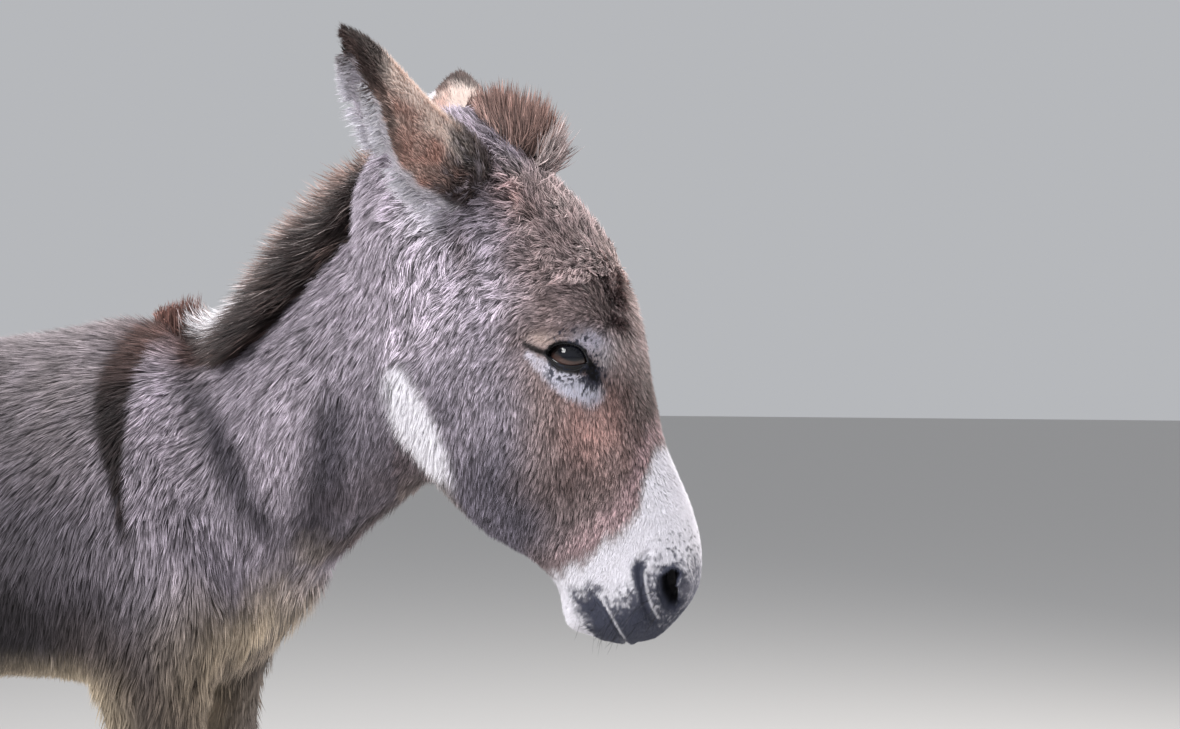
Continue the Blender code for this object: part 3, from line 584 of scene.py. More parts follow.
def ear_skin(side_name):
    """The cupped ear, thinned by its coat and rooted deep in the head."""
    root, rows, length = ear_frame(side_name)
    points, tris = fused([solid("ear_" + side_name)], EAR_CELL)
    net = Net(len(points), tris)
    points = net.smooth(points, 5)
    points = points - normals(points, tris) * 0.0012
    local = (points - root) @ rows.T
    deep = step(0.17, -0.04, local[:, 0] / length)
    local[:, 0] -= 0.04 * deep
    local[:, 1:] *= 1 - 0.25 * deep[:, None]
    return root + local @ rows, tris


# ---------------------------------------------------------------- the skin

def node_labels(points):
    """For each point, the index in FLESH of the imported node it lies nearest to."""
    parts = [solid(n) for n in FLESH]
    all_points, all_tris = stacked(parts)
    owner = np.repeat(np.arange(len(parts)), [len(t) for _, t in parts])
    tree = BVHTree.FromPolygons(all_points.tolist(), all_tris.tolist())
    return np.array([owner[tree.find_nearest(Vector(p))[2]] for p in points])


def body_surface():
    """The flesh solids as one smooth surface, finer on the head, on the muzzle and round the eyes."""
    points, tris = fused([solid(n) for n in FLESH], BODY_CELL, 0.0009)
    net = Net(len(points), tris)
    for _ in range(16):
        points = net.smooth(points, 1, 0.5)
        points = net.smooth(points, 1, -0.51)
    points = net.smooth(points, 3, 0.5)
    head = to_head(points)
    points, tris = refined(points, tris, (head[:, 0] > 0.02) & (head[:, 1] > -0.22) & (points[:, 2] < 1.3)
                           & (np.abs(head[:, 2]) < 0.13) & (points[:, 0] > 0.3))
    head = to_head(points)
    near_eye = np.minimum(*(np.linalg.norm(head - EYE_AT * (1, 1, s), axis=1) for s in (-1, 1)))
    nose = (head[:, 0] > 0.39) & (points[:, 2] < 0.9) & (points[:, 0] > 0.4)
    points, tris = refined(points, tris, nose | (near_eye < 0.05))
    net = Net(len(points), tris)
    return net.smooth(points, 4, 0.5), tris, net


def sunk(points, tris, net, label):
    """The surface pressed in by the coat's depth, with the folds of the neck and the tail's thin end."""
    _, length, _ = coat_field(points)
    depth = np.clip(SKIN_DEPTH * length, 0.0012, 0.0115)
    tail = label == FLESH.index("tail")
    depth = np.where(tail, 0.006 + 0.004 * step(0.62, 0.52, points[:, 2]), depth)
    for line, width, deep in ((FOLD, 0.02, 0.008), (GROOVE, 0.024, 0.007)):
        gap = gap_to(to_plane(points), line)
        depth += deep * bump(gap, 0, width)
    depth = net.smooth(depth, 10)
    points = points - normals(points, tris) * depth[:, None]
    low = tail & (points[:, 2] < DOCK_END)
    points[low, 2] = DOCK_END - (DOCK_END - points[low, 2]) * 0.5
    return points


def into_hooves(points, label):
    """Draws the lower ends of the legs down into the horn and widens them to meet it."""
    for k, name in enumerate(FLESH):
        if "leg" in name:
            own = label == k
            foot = points[own, 2].min()
            ankle = own & (points[:, 2] < foot + 0.06)
            centre = points[ankle, :2].mean(0)
            share = step(foot + 0.06, foot + 0.016, points[ankle, 2])
            points[ankle, 2] -= INTO_HOOF * share
            points[ankle, :2] += (points[ankle, :2] - centre) * (CORONET_FLARE * share ** 2)[:, None]


def build_skin():
    """Points, triangles, node labels and nostril depth of the one skin, ears and lids included."""
    points, tris, net = body_surface()
    label = node_labels(points)
    points = sunk(points, tris, net, label)
    into_hooves(points, label)
    head = to_head(points)
    nose = (head[:, 0] > 0.42) & (np.abs(head[:, 2]) < 0.08) & (points[:, 2] < 0.9) & (points[:, 0] > 0.4)
    points, tris = refined(points, tris, nose)
    label = np.concatenate([label, np.zeros(len(points) - len(label), int)])
    net = Net(len(points), tris)
    points = net.smooth(points, 2, 0.5)
    points, hole = face_shape(points, tris)
    points = net.smooth(points, 3, 0.5, step(0.0, 0.3, hole) * step(1.0, 0.7, hole))
    parts, labels = [], []
    for side in SIDES.values():
        local = in_eye(points, side)
        r = np.hypot(local[:, 0], local[:, 1])
        facing = local[:, 2] > -0.03
        ring = facing & (r > 0.03) & (r < 0.05)
        a, b, high = local[ring].T
        terms = np.stack([np.ones_like(a), a, b, a * a, a * b, b * b], -1)
        fit = np.linalg.lstsq(terms, high, rcond=None)[0]
        near = facing & (r < EYE_BLEND[1])
        target = lid_height(local[near, 0], local[near, 1], fit)
        share = step(EYE_BLEND[1], EYE_BLEND[0], r[near])
        local[near, 2] += (target - local[near, 2]) * share
        points[near] = out_of_eye(local[near], side)
        inside = facing & (r < LID_REACH - 0.003)
        tris = tris[~inside[tris].all(1)]
        lid = lids(side, fit)
        parts.append(lid)
        labels.append(np.full(len(lid[0]), LID))
    for name in SIDES:
        ear = ear_skin(name)
        parts.append(ear)
        labels.append(np.full(len(ear[0]), EAR[name]))
    label = np.concatenate([label] + labels)
    hole = np.concatenate([hole] + [np.zeros(len(p)) for p, _ in parts])
    points, tris = stacked([(points, tris)] + parts)
    used = np.unique(tris)
    index = np.full(len(points), -1)
    index[used] = np.arange(len(used))
    return points[used], index[tris], label[used], hole[used]


# ---------------------------------------------------------------- making objects

def piece(name, points, tris, material, tint, patch):
    """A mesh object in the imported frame, with colours by point and OFBake places by point or by corner."""
    if len(patch) == len(points):
        patch = patch[tris.ravel()]
    mesh = bpy.data.meshes.new(name)
    mesh.vertices.add(len(points))
    mesh.vertices.foreach_set("co", (points + SHIFT).astype(np.float32).ravel())
    mesh.loops.add(tris.size)
    mesh.loops.foreach_set("vertex_index", tris.astype(np.int32).ravel())
    mesh.polygons.add(len(tris))
    mesh.polygons.foreach_set("loop_start", np.arange(0, tris.size, 3, dtype=np.int32))
    mesh.update(calc_edges=True)
    mesh.polygons.foreach_set("use_smooth", np.ones(len(tris), bool))
    layer = mesh.attributes.new("tint", "FLOAT_COLOR", "POINT")
    layer.data.foreach_set("color", np.column_stack([tint, np.ones(len(tint))]).astype(np.float32).ravel())
    layer = mesh.uv_layers.new(name="OFBake")
    layer.data.foreach_set("uv", patch.astype(np.float32).ravel())
    mesh.validate()
    mesh.materials.append(material)
    obj = bpy.data.objects.new(name, mesh)
    bpy.context.scene.collection.objects.link(obj)
    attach(obj, "root")
    return obj


# ---------------------------------------------------------------- markings

LILAC = colour(166, 157, 168)
LILAC_DARK = colour(96, 91, 101)
BROWN = colour(142, 125, 124)
BROWN_DARK = colour(80, 66, 64)
RUST = colour(154, 122, 116)
PINK = colour(176, 150, 154)
WHITE = colour(236, 234, 241)
NOSE_GREY = colour(104, 104, 118)
SLATE = colour(44, 49, 70)
BLACK = colour(18, 17, 20)
CREAM = colour(190, 174, 150)
MANE_DARK = colour(50, 39, 38)
TAN = colour(196, 176, 168)
EAR_BROWN = colour(180, 143, 132)
EAR_BASE_GREY = colour(66, 58, 61)
LEG_GREY = colour(112, 102, 100)
LEG_BROWN = colour(80, 70, 66)
BACK_GREY = colour(140, 131, 134)
# painted shade behind the elbow
ELBOW_SHADOW = colour(46, 42, 45)

# up from the head's axis, and where the white begins along the face
MUZZLE_EDGE = ((0.03, 0.33), (0.014, 0.345), (-0.003, 0.372), (-0.025, 0.384), (-0.059, 0.398),
               (-0.096, 0.404), (-0.13, 0.398))
CROSS = ((-0.02, -0.008, 1.045), (-0.034, -0.05, 1.016), (-0.036, -0.088, 0.979), (-0.024, -0.12, 0.945),
         (-0.008, -0.142, 0.915), (0.01, -0.16, 0.88), (0.028, -0.168, 0.825), (0.05, -0.17, 0.75))
DRAPE = ((0.035, -0.03, 1.01), (0.09, -0.038, 1.01), (0.14, -0.04, 1.035), (0.2, -0.034, 1.08),
         (0.26, -0.026, 1.12), (0.32, -0.012, 1.16))      # the middle of the hanging mane
# bands of the body: line in the bent neck's own plane, half width, colour, share
BODY_BANDS = (
    (((0.205, -0.085, 0.945), (0.15, -0.068, 0.847), (0.11, -0.045, 0.76)), 0.046, LILAC * 1.1, 0.85),
    (((0.02, -0.1, 0.945), (0.03, -0.15, 0.88), (0.07, -0.15, 0.78)), 0.05, LILAC * 1.1, 0.75),
    # a pale band on top of the shoulder: a painted highlight
    (((0.004, -0.055, 1.0), (0.014, -0.095, 0.95)), 0.034, LILAC * 1.3, 0.7),
    # the dark bands along FOLD and GROOVE are painted shade in the neck's folds
    (FOLD, 0.022, colour(50, 47, 55), 0.88), (GROOVE, 0.026, colour(58, 55, 64), 0.8),
    (((0.3, -0.12, 1.12), (0.24, -0.1, 1.06), (0.19, -0.095, 0.99)), 0.04, LILAC * 0.62, 0.6),
    (((0.2, -0.06, 0.79), (0.26, -0.045, 0.835), (0.32, -0.03, 0.85)), 0.034, colour(70, 57, 55), 0.9))
# patches of the head: place in the head's frame, radius, colour, share
HEAD_BLOBS = (
    ((0.06, -0.02, 0.075), (0.035, 0.03, 0.05), BROWN_DARK, 0.45),
    ((0.11, -0.064, 0.09), (0.028, 0.009, 0.03), BROWN_DARK, 0.75),
    ((0.03, -0.02, 0.1), (0.025, 0.025, 0.03), EAR_BASE_GREY, 0.8),
    ((0.29, -0.014, 0.062), (0.04, 0.03, 0.03), colour(196, 160, 154), 0.85),
    ((0.066, -0.008, 0.07), (0.024, 0.014, 0.03), RUST, 0.55),
    ((0.01, 0.0, 0.02), (0.03, 0.03, 0.06), BROWN_DARK, 0.85),
    ((0.014, -0.004, 0.034), (0.024, 0.018, 0.018), LILAC * 1.25, 0.98),
    ((0.35, -0.1, 0.045), (0.045, 0.04, 0.05), LILAC_DARK * 0.7, 0.6),
    ((0.205, -0.02, 0.085), (0.016, 0.04, 0.03), BROWN_DARK, 0.25),
    ((0.06, -0.085, 0.09), (0.02, 0.02, 0.03), WHITE, 0.65),
    ((0.33, -0.055, 0.055), (0.03, 0.03, 0.04), BROWN_DARK, 0.45),
    ((0.17, -0.09, 0.092), (0.05, 0.035, 0.05), LILAC * 1.1, 0.45),
    ((0.18, 0.062, 0.0), (0.05, 0.02, 0.04), TAN, 0.4),
    ((0.092, -0.12, 0.082), (0.045, 0.034, 0.04), LILAC * 0.66, 0.62))


def body_tint(points):
    """Colours of neck, trunk, legs and tail."""
    x, z = points[:, 0], points[:, 2]
    y = points[:, 1] - middle_of(x)
    mirror = np.column_stack([x, -np.abs(y), z])
    grain = noise(points * (1, 1, 0.45), 0.022, 3)
    patchy = noise(points, 0.09, 4)
    neck = step(-0.02, 0.14, x)
    tint = mix(BACK_GREY, LILAC, neck)
    low_neck = step(1.1, 0.86, z - 0.35 * (x - 0.25) + 0.02 * patchy)
    tint = mix(tint, LILAC_DARK, neck * (0.1 + 0.62 * low_neck))
    flank = np.clip(0.85 * step(0.97, 0.8, z + 0.25 * x) + 0.15 * patchy, 0, 1)
    tint = mix(tint, LILAC_DARK, (1 - neck) * flank)
    tint = mix(tint, LILAC_DARK, 0.35 * np.clip(grain, 0, 1))
    tint = mix(tint, LILAC, 0.3 * np.clip(-grain, 0, 1))
    for line, width, shade, share in BODY_BANDS:
        gap = gap_to(mirror, line)
        tint = mix(tint, shade, share * bump(gap + 0.005 * grain, 0, width))
    # painted shade behind the elbow, spread softly under the front of the belly
    elbow_shadow = blob(mirror, (-0.13, -0.165, 0.7), (0.19, 0.12, 0.095))
    tint = mix(tint, ELBOW_SHADOW, np.clip(1.15 * elbow_shadow * (1 + 0.3 * grain), 0, 0.9))
    low = step(0.76, 0.64, z + 0.03 * patchy) * step(-0.1, -0.02, x)
    tint = mix(tint, LEG_BROWN, 0.9 * low)
    chest = step(0.815, 0.685, z + 0.35 * np.abs(y) + 0.03 * grain + 0.03 * patchy) * step(0.02, 0.12, x)
    tint = mix(tint, CREAM * 1.15, 0.88 * np.clip(chest * (1 + 0.4 * grain), 0, 1) * (1 - 0.45 * low))
    belly = step(0.715, 0.64, z + 0.1 * np.abs(y) + 0.012 * patchy)
    belly = belly * step(-0.7, -0.6, x) * step(0.05, -0.05, x)
    tint = mix(tint, CREAM * 1.15, 0.85 * belly)
    leg = step(0.62, 0.48, z) * step(-0.92, -0.9, x)
    inner = step(0.075, 0.045, np.abs(y)) * step(0.62, 0.5, z)
    shade = mix(LEG_GREY, LEG_BROWN, 0.55 * step(0.25, 0.06, z) + 0.25 * grain.clip(0))
    tint = mix(tint, shade, leg)
    tint = mix(tint, CREAM, 0.55 * inner * leg)
    spine = bump(y, 0, 0.013 + 0.003 * patchy) * step(0.9, 0.96, z) * step(0.05, 0.0, x)
    tint = mix(tint, MANE_DARK, 0.85 * spine)
    cross, place = near_line(mirror, CROSS)
    width = 0.019 - 0.0105 * step(0.35, 0.75, place)
    band = step(1.3, 0.75, (cross + 0.003 * grain * (1 - 0.7 * place)) / width)
    band = band * (1 - 0.2 * step(0.85, 1.0, place))
    tint = mix(tint, mix(RUST * 0.3, MANE_DARK * 0.55, step(0.1, 0.45, place)), 0.97 * band)
    crest = gap_to(mirror, DRAPE)
    # painted shade on the neck where the mane hangs over it
    shade_under_mane = step(0.034, 0.022, crest + 0.004 * grain) * step(0.024, 0.006, y) * (z > 0.93)
    tint = mix(tint, MANE_DARK, 0.92 * shade_under_mane)
    rust = blob(mirror, (-0.002, -0.035, 1.025), (0.055, 0.035, 0.04))
    tint = mix(tint, RUST * 0.6, 0.8 * rust)
    tail = step(-0.905, -0.93, x)
    bright = 0.9 + 0.08 * bump(x, 0.02, 0.1) - 0.22 * step(-0.04, -0.14, x) * step(0.99, 0.9, z)
    tint = tint * bright[:, None]
    return mix(tint, mix(BACK_GREY, BLACK * 1.6, step(0.66, 0.52, z)), tail)


def head_tint(points):
    """Colours of the head, in which the muzzle is white and the lips slate."""
    h = to_head(points)
    t, u, o = h[:, 0], h[:, 1], np.abs(h[:, 2])
    q = np.column_stack([t, u, o])
    flat = q[:, :2]
    grain = noise(points * (1, 1, 0.5), 0.01, 6)
    fine = noise(points, 0.0026, 7)
    pepper = noise(points, 0.0016, 10)
    patchy = noise(points, 0.035, 8)
    front = step(-0.08, -0.02, u + (t - 0.2) * 0.32 + 0.01 * patchy)
    down = step(0.17, 0.36, t - 0.25 * u + 0.02 * patchy)
    tint = mix(LILAC, LILAC_DARK, np.clip(0.05 + 0.95 * down, 0, 1))
    tint = mix(tint, LILAC_DARK, 0.45 * np.clip(patchy * 1.6, 0, 1) * step(0.1, 0.22, t))
    tint = mix(tint, BROWN, front * 0.9)
    bridge = step(0.23, 0.29, t) * step(-0.03, 0.01, u) * step(0.37, 0.35, t)
    tint = mix(tint, BROWN_DARK, 0.8 * bridge * (0.8 + 0.4 * grain))
    curls = np.clip(0.2 + grain + 0.4 * patchy, 0, 1)
    tint = mix(tint, BROWN_DARK, 0.55 * front * curls * step(0.0, 0.03, t))
    tint = tint * 1.08
    for place, radius, shade, share in HEAD_BLOBS:
        tint = mix(tint, shade, np.clip(share * blob(q, place, radius) * (1 + 0.35 * grain), 0, 1))
    edge = on_line(MUZZLE_EDGE[::-1], u) + 0.005 * grain
    pink = 0.7 * bump(t, edge - 0.012, 0.013) * step(-0.11, -0.06, u) * (0.7 + 0.6 * (pepper > 0))
    tint = mix(tint, PINK, pink)
    rear = blob(q, (0.232, -0.17, 0.055), (0.06, 0.019, 0.05))
    below = step(-0.155, -0.178, u) * step(0.2, 0.26, t)
    tint = mix(tint, mix(BROWN_DARK, CREAM * 0.7, step(0.26, 0.34, t)), 0.65 * below)
    rear = 0.98 * step(0.06, 0.56, rear * (1 + 0.25 * grain)) * step(0.16, 0.19, t)
    tint = mix(tint, np.minimum(WHITE * 1.15, 1), rear)
    white = step(-0.006, 0.01, t - edge + 0.004 * pepper)
    tint = mix(tint, WHITE, 0.98 * white)
    for side in SIDES.values():
        local = in_eye(points, side)
        near = (np.abs(local[:, 2]) < 0.05) & (np.hypot(local[:, 0], local[:, 1]) < 0.075)
        tint[near] = eye_tint(local[near, :2], tint[near], fine[near], pepper[near])
    line = on_line(MOUTH, t)
    crease = on_line(WING_CREASE, t)
    salt = 0.8 * fine + 0.35 * pepper + 0.45 * grain
    nose = step(0.396, 0.464, t - 0.3 * np.maximum(u - 0.005, 0)) * (u > crease)
    lip = step(0.42, 0.466, t + 0.15 * (u + 0.045)) * (u <= crease) * (u > line)
    lower = step(0.412, 0.442, t) * step(0.027, 0.008, np.abs(u - line + 0.008)) * (u <= line)
    corner = 0.6 * blob(flat, (0.428, -0.067), (0.01, 0.007))
    nostril = gap_to(flat, NOSTRIL)
    hollow = step(0.017, 0.006, nostril) * step(0.02, 0.03, o)
    cleft = gap_to(flat, WING_CREASE)
    hollow = np.maximum(hollow, bump(cleft, 0.0015, 0.0065) * step(0.41, 0.422, t))
    slate = np.maximum.reduce([0.86 * nose, lip, lower, 0.9 * corner, hollow])
    slate = step(0.06, 0.94, slate + salt * (0.22 + slate * (1 - slate) * 1.5)) * step(0.392, 0.412, t)
    # darkest slate on the lips, their own colour, and as painted shade in the nostril hollows, the wing's
    # crease and at the nose's tip
    depth = np.clip(np.maximum.reduce([lip, lower, hollow, step(0.462, 0.48, t - 0.2 * u)]), 0, 1)
    tint = mix(tint, mix(NOSE_GREY, SLATE, depth), 0.96 * slate)
    dots = step(0.42, 0.6, fine) * step(0.39, 0.41, t) * step(0.46, 0.44, t) * step(-0.005, 0.005, u)
    tint = mix(tint, SLATE, 0.6 * dots)
    rim = gap_to(flat, WING_RIM)
    tint = mix(tint, WHITE, 0.62 * bump(rim, 0, 0.0014) * step(0.424, 0.432, t) * step(0.03, 0.04, o))
    # a white line along the upper lip's edge: a painted highlight
    edge = bump(u - line, 0.003, 0.0013) * step(0.432, 0.438, t) * step(0.486, 0.474, t)
    return mix(tint, WHITE, 0.7 * edge)


def eye_tint(e, tint, fine, pepper):
    """Colours round an eye: black lids, a white band below, a speckled patch in front."""
    gap = gap_to(e, RIM)
    salt = 0.75 * fine + 0.45 * pepper
    upper = step(-0.003, 0.003, e[:, 1] + 0.06 * e[:, 0])
    under, place = near_line(e, ((-0.034, -0.005), (-0.0251, -0.0098), (-0.0071, -0.0205), (0.0105, -0.028),
                                 (0.022, -0.0295), (0.0275, -0.03)))
    width = 0.003 + 0.007 * place
    pale = step(1.75, 0.35, (under + 0.0022 * salt) / width)
    under = gap_to(e, ((-0.022, -0.0115), (-0.005, -0.0165), (0.008, -0.02), (0.018, -0.0215)))
    pale = np.maximum(pale, step(0.009, 0.003, under + 0.0022 * salt))
    light = np.array((0.88, 0.87, 1.0))
    tint = mix(tint, light, np.clip((0.5 + 0.55 * step(0.15, 0.6, place)) * pale * (1 + 0.4 * fine), 0, 1))
    above = np.clip(1.15 * blob(e, (0.0195, 0.0165), (0.015, 0.01)) * (1 + 0.5 * fine), 0, 1)
    tint = mix(tint, mix(light, PINK, 0.22), above)
    tint = mix(tint, WHITE, 0.35 * blob(e, (0.034, 0.004), (0.01, 0.014)))
    tint = mix(tint, TAN, 0.65 * blob(e, (-0.024, 0.01), (0.014, 0.007)))
    # a dark line along the fold above the eye: painted shade in the crease
    fold = gap_to(e, ((-0.05, 0.001), (-0.036, 0.014), (-0.02, 0.021), (-0.004, 0.024)))
    tint = mix(tint, BROWN_DARK, 0.5 * bump(fold, 0, 0.0022))
    tear = np.hypot((e[:, 0] - 0.0285) / 0.0105, (e[:, 1] + 0.0165) / 0.012)
    tint = mix(tint, SLATE * 0.6, 0.95 * step(1.2, 0.5, tear + 1.5 * salt))
    slit = gap_to(e, ((-0.017, -0.002), (-0.028, 0.0008), (-0.038, 0.0035)))
    tint = mix(tint, BLACK, 0.92 * step(0.0042, 0.0012, slit))
    front = gap_to(e, ((0.018, -0.002), (0.025, -0.009), (0.029, -0.013)))
    tint = mix(tint, BLACK, 0.95 * step(0.007, 0.003, front + 0.002 * salt))
    reach = 0.0026 + 0.0042 * (1 - upper) * step(-0.02, -0.01, e[:, 0])
    tint = mix(tint, BLACK * 0.6, 0.98 * step(1.4, 0.75, (gap + 0.0016 * salt) / reach))
    speck = step(0.1, 0.22, salt) * step(0.027, 0.013, gap + 0.004 * upper) * step(-0.024, -0.01, e[:, 0])
    return mix(tint, SLATE * 0.6, 0.92 * speck)


def ear_tint(points, side_name, inward):
    """Colours of an ear: tan outside with a dark tip, pale along its back and inside, grey at its base."""
    local, s = in_ear(points, side_name)
    grain, fine = noise(points, 0.012, 9), noise(points, 0.0045, 12)
    rim = ear_rim_of(s, local[:, 1])
    tint = mix(TAN * 1.25, EAR_BROWN * 1.2, np.clip(0.72 - 0.4 * step(0.45, 0.75, s) + 0.5 * grain, 0, 1))
    back = step(0.006, -0.008, local[:, 1] + 0.004 * grain)
    tint = mix(tint, colour(250, 234, 226), 0.92 * back * step(0.96, 0.8, s) * step(0.1, 0.25, s))
    tint = mix(tint, BROWN_DARK, 0.7 * bump(rim, 0.012, 0.007) * step(0.45, 0.62, s))
    tint = mix(tint, BROWN_DARK * 0.7, 0.92 * step(0.7, 0.84, s + 0.03 * grain))
    base = step(0.4, 0.16, s + 0.06 * grain + 1.2 * np.maximum(local[:, 1], 0))
    tint = mix(tint, EAR_BASE_GREY * 0.65, 0.92 * base)
    tint = mix(tint, LILAC, 0.5 * base * step(0.15, 0.45, fine))
    edge = step(0.0215 - 0.02 * s, 0.0125 - 0.012 * s, rim + 0.003 * grain)
    pale = np.maximum(inward * step(0.94, 0.8, s), edge) * step(0.86, 0.7, s)
    return mix(tint, np.array((0.96, 0.93, 1.0)), 0.96 * pale)


def tint_of(points, label, inward):
    """The animal's own colours at points of the skin or at the roots of its coat."""
    head = label == 0
    lid = label == LID
    tint = body_tint(points)
    h = to_head(points)
    share = np.where(head | lid, 1.0, 0.0)
    share = np.where(label == 1, step(-0.03, 0.03, h[:, 0]) * step(-0.26, -0.18, h[:, 1]) * 0.5, share)
    near = share > 0
    tint[near] = mix(tint[near], head_tint(points[near]), share[near])
    for name in SIDES:
        own = label == EAR[name]
        tint[own] = ear_tint(points[own], name, inward[own])
    return tint


# ---------------------------------------------------------------- materials

def material(name, rough, grain, depth, spread=0.25, stretch=(1, 1, 1), sheen=0.0, coat=0.0, specular=0.4):
    """A finish that takes the mesh's own tint, varied and roughened by noise."""
    made = bpy.data.materials.new(name)
    made.use_nodes = True
    nodes, links = made.node_tree.nodes, made.node_tree.links
    shader = nodes["Principled BSDF"]

    def fill(node, values):
        for socket, value in values.items():
            node.inputs[socket].default_value = value
        return node

    def fed(kind, source, socket, values):
        """A node with one socket fed by another node and the others set."""
        node = fill(nodes.new("ShaderNode" + kind), values)
        links.new(source, node.inputs[socket])
        return node

    place = nodes.new("ShaderNodeTexCoord").outputs["Object"]
    scaled = fed("Mapping", place, "Vector", {"Scale": stretch}).outputs["Vector"]
    wave = fed("TexNoise", scaled, "Vector", {"Scale": grain, "Detail": 4.0}).outputs["Fac"]
    level = fed("MapRange", wave, "Value", {"To Min": 1 - spread, "To Max": 1 + spread})
    tint = nodes.new("ShaderNodeAttribute")
    tint.attribute_name = "tint"
    vary = nodes.new("ShaderNodeVectorMath")
    vary.operation = "SCALE"
    links.new(tint.outputs["Color"], vary.inputs[0])
    links.new(level.outputs["Result"], vary.inputs["Scale"])
    links.new(vary.outputs["Vector"], shader.inputs["Base Color"])
    finish = fed("MapRange", wave, "Value",
                 {"To Min": max(rough - 0.1, 0.02), "To Max": min(rough + 0.1, 1.0)})
    links.new(finish.outputs["Result"], shader.inputs["Roughness"])
    if depth:
        relief = fed("Bump", wave, "Height", {"Strength": 0.6, "Distance": depth})
        links.new(relief.outputs["Normal"], shader.inputs["Normal"])
    fill(shader, {"Sheen Weight": sheen, "Sheen Roughness": 0.5, "Coat Weight": coat,
                  "Coat Roughness": 0.04, "Specular IOR Level": specular})
    return made


FUR = material("fur", 0.62, 260.0, 0.0, 0.22, sheen=0.04, specular=0.22)
LONG_HAIR = material("long_hair", 0.5, 180.0, 0.0, 0.28, sheen=0.04, specular=0.3)
HIDE = material("hide", 0.58, 520.0, 0.0006, 0.25, specular=0.3)
HORN = material("horn", 0.48, 90.0, 0.0008, 0.3, stretch=(1, 1, 0.15), specular=0.45)
EYE = material("eye", 0.1, 420.0, 0.0, 0.25, coat=0.3, specular=0.35)


# ---------------------------------------------------------------- places on the unwrapped skin

PATCH = 0.003


def chart_places(points, ways, region=0):
    """Where points lie on an unwrap of the surface: one chart for each region and each of six sides."""
    axis = np.abs(ways).argmax(1)
    face = axis * 2 + (np.take_along_axis(ways, axis[:, None], 1)[:, 0] > 0)
    chart = region * 6 + face
    others = np.array(((1, 2), (0, 2), (0, 1)))[axis]
    flat = np.take_along_axis(points, others, 1)
    names = np.unique(chart)
    low = np.array([flat[chart == c].min(0) for c in names])
    size = np.array([flat[chart == c].max(0) for c in names]) - low + 0.004
    order = np.argsort(-size[:, 1])
    best = None
    for width in np.linspace(size[:, 0].max(), size[:, 0].sum() + 0.01, 60):
        x = y = tall = 0.0
        spots = np.zeros_like(size)
        for k in order:
            if x + size[k, 0] > width + 1e-9:
                x, y, tall = 0.0, y + tall, 0.0
            spots[k] = x, y
            x, tall = x + size[k, 0], max(tall, size[k, 1])
        span = max(width, y + tall)
        if best is None or span < best[0]:
            best = span, spots
    span, spots = best
    index = np.searchsorted(names, chart)
    return (flat - low[index] + spots[index] + 0.002) / span * (1 - 2 * PATCH) + PATCH


# ---------------------------------------------------------------- tufts

def blades(root, middle, tip, side, up, width, rings, tint, place, keel=0.38, tips=1.12, base=0.62,
           ends=None):
    """Keeled leaves on curves from root to tip: a point at each end and three to each ring."""
    count = len(root)
    ends = tint * tips if ends is None else ends
    size = 3 * rings + 2
    points = np.empty((count, size, 3))
    shade = np.empty((count, size, 3))
    spots = np.empty((count, size, 2))
    points[:, 0], points[:, -1] = root, tip
    # roots darkened by base and tips brightened by tips: painted shade at the roots and painted light at the
    # tips
    shade[:, 0], shade[:, -1] = tint * base, ends
    spots[:, 0], spots[:, -1] = place - (0, PATCH / 2), place + (0, PATCH / 2)
    for k in range(rings):
        s = (k + 1) / (rings + 1) if rings > 1 else 0.46
        at = (1 - s) ** 2 * root + 2 * s * (1 - s) * middle + s * s * tip
        w = (width * (1.0 if rings == 1 else math.sin(math.pi * (0.22 + 0.62 * s)) ** 0.8))[:, None]
        points[:, 1 + 3 * k] = at + side * w / 2
        points[:, 2 + 3 * k] = at + up * w * keel
        points[:, 3 + 3 * k] = at - side * w / 2
        shade[:, 1 + 3 * k:4 + 3 * k] = (tint * base + (ends - tint * base) * min(s * 1.2, 1.0))[:, None]
        for j, across in enumerate((PATCH / 2, 0.0, -PATCH / 2)):
            spots[:, 1 + 3 * k + j] = place + (across, (s - 0.5) * PATCH)
    faces = [(0, 1, 2), (0, 2, 3)]
    for k in range(rings - 1):
        r, m, l = 1 + 3 * k, 2 + 3 * k, 3 + 3 * k
        faces += [(r, r + 3, m + 3), (r, m + 3, m), (m, m + 3, l + 3), (m, l + 3, l)]
    last = size - 1
    faces += [(last - 3, last, last - 2), (last - 2, last, last - 1)]
    faces = np.array(faces)
    tris = (faces[None] + (np.arange(count) * size)[:, None, None]).reshape(-1, 3)
    return points.reshape(-1, 3), tris, shade.reshape(-1, 3), spots.reshape(-1, 2)


def darts(root, tip, side, up, width, tint, place, tips=1.3, base=0.4):
    """Keeled leaves of two faces: a ridge from root to tip, with a point at each side of it."""
    count = len(root)
    at = root + (tip - root) * 0.42 - up * (width * 0.3)[:, None]
    across = side * (width / 2)[:, None]
    points = np.stack([root, at + across, at - across, tip], 1)
    # roots darkened by base and tips brightened by tips: painted shade at the roots and painted light at the
    # tips
    base = np.broadcast_to(base, count)[:, None]
    middle = 0.35 * base + 0.65 * tips
    shade = np.stack([tint * base, tint * middle, tint * middle, tint * tips], 1)
    half = PATCH / 2
    spots = np.stack([place - (0, half), place + (half, 0), place - (half, 0), place + (0, half)], 1)
    tris = (np.array(((0, 1, 3), (0, 3, 2)))[None] + (np.arange(count) * 4)[:, None, None]).reshape(-1, 3)
    return points.reshape(-1, 3), tris, shade.reshape(-1, 3), spots.reshape(-1, 2)


def hair_piece(name, made, material):
    """A piece of what blades or darts made."""
    points, tris, shade, spots = made
    return piece(name, points, tris, material, within(shade), spots)


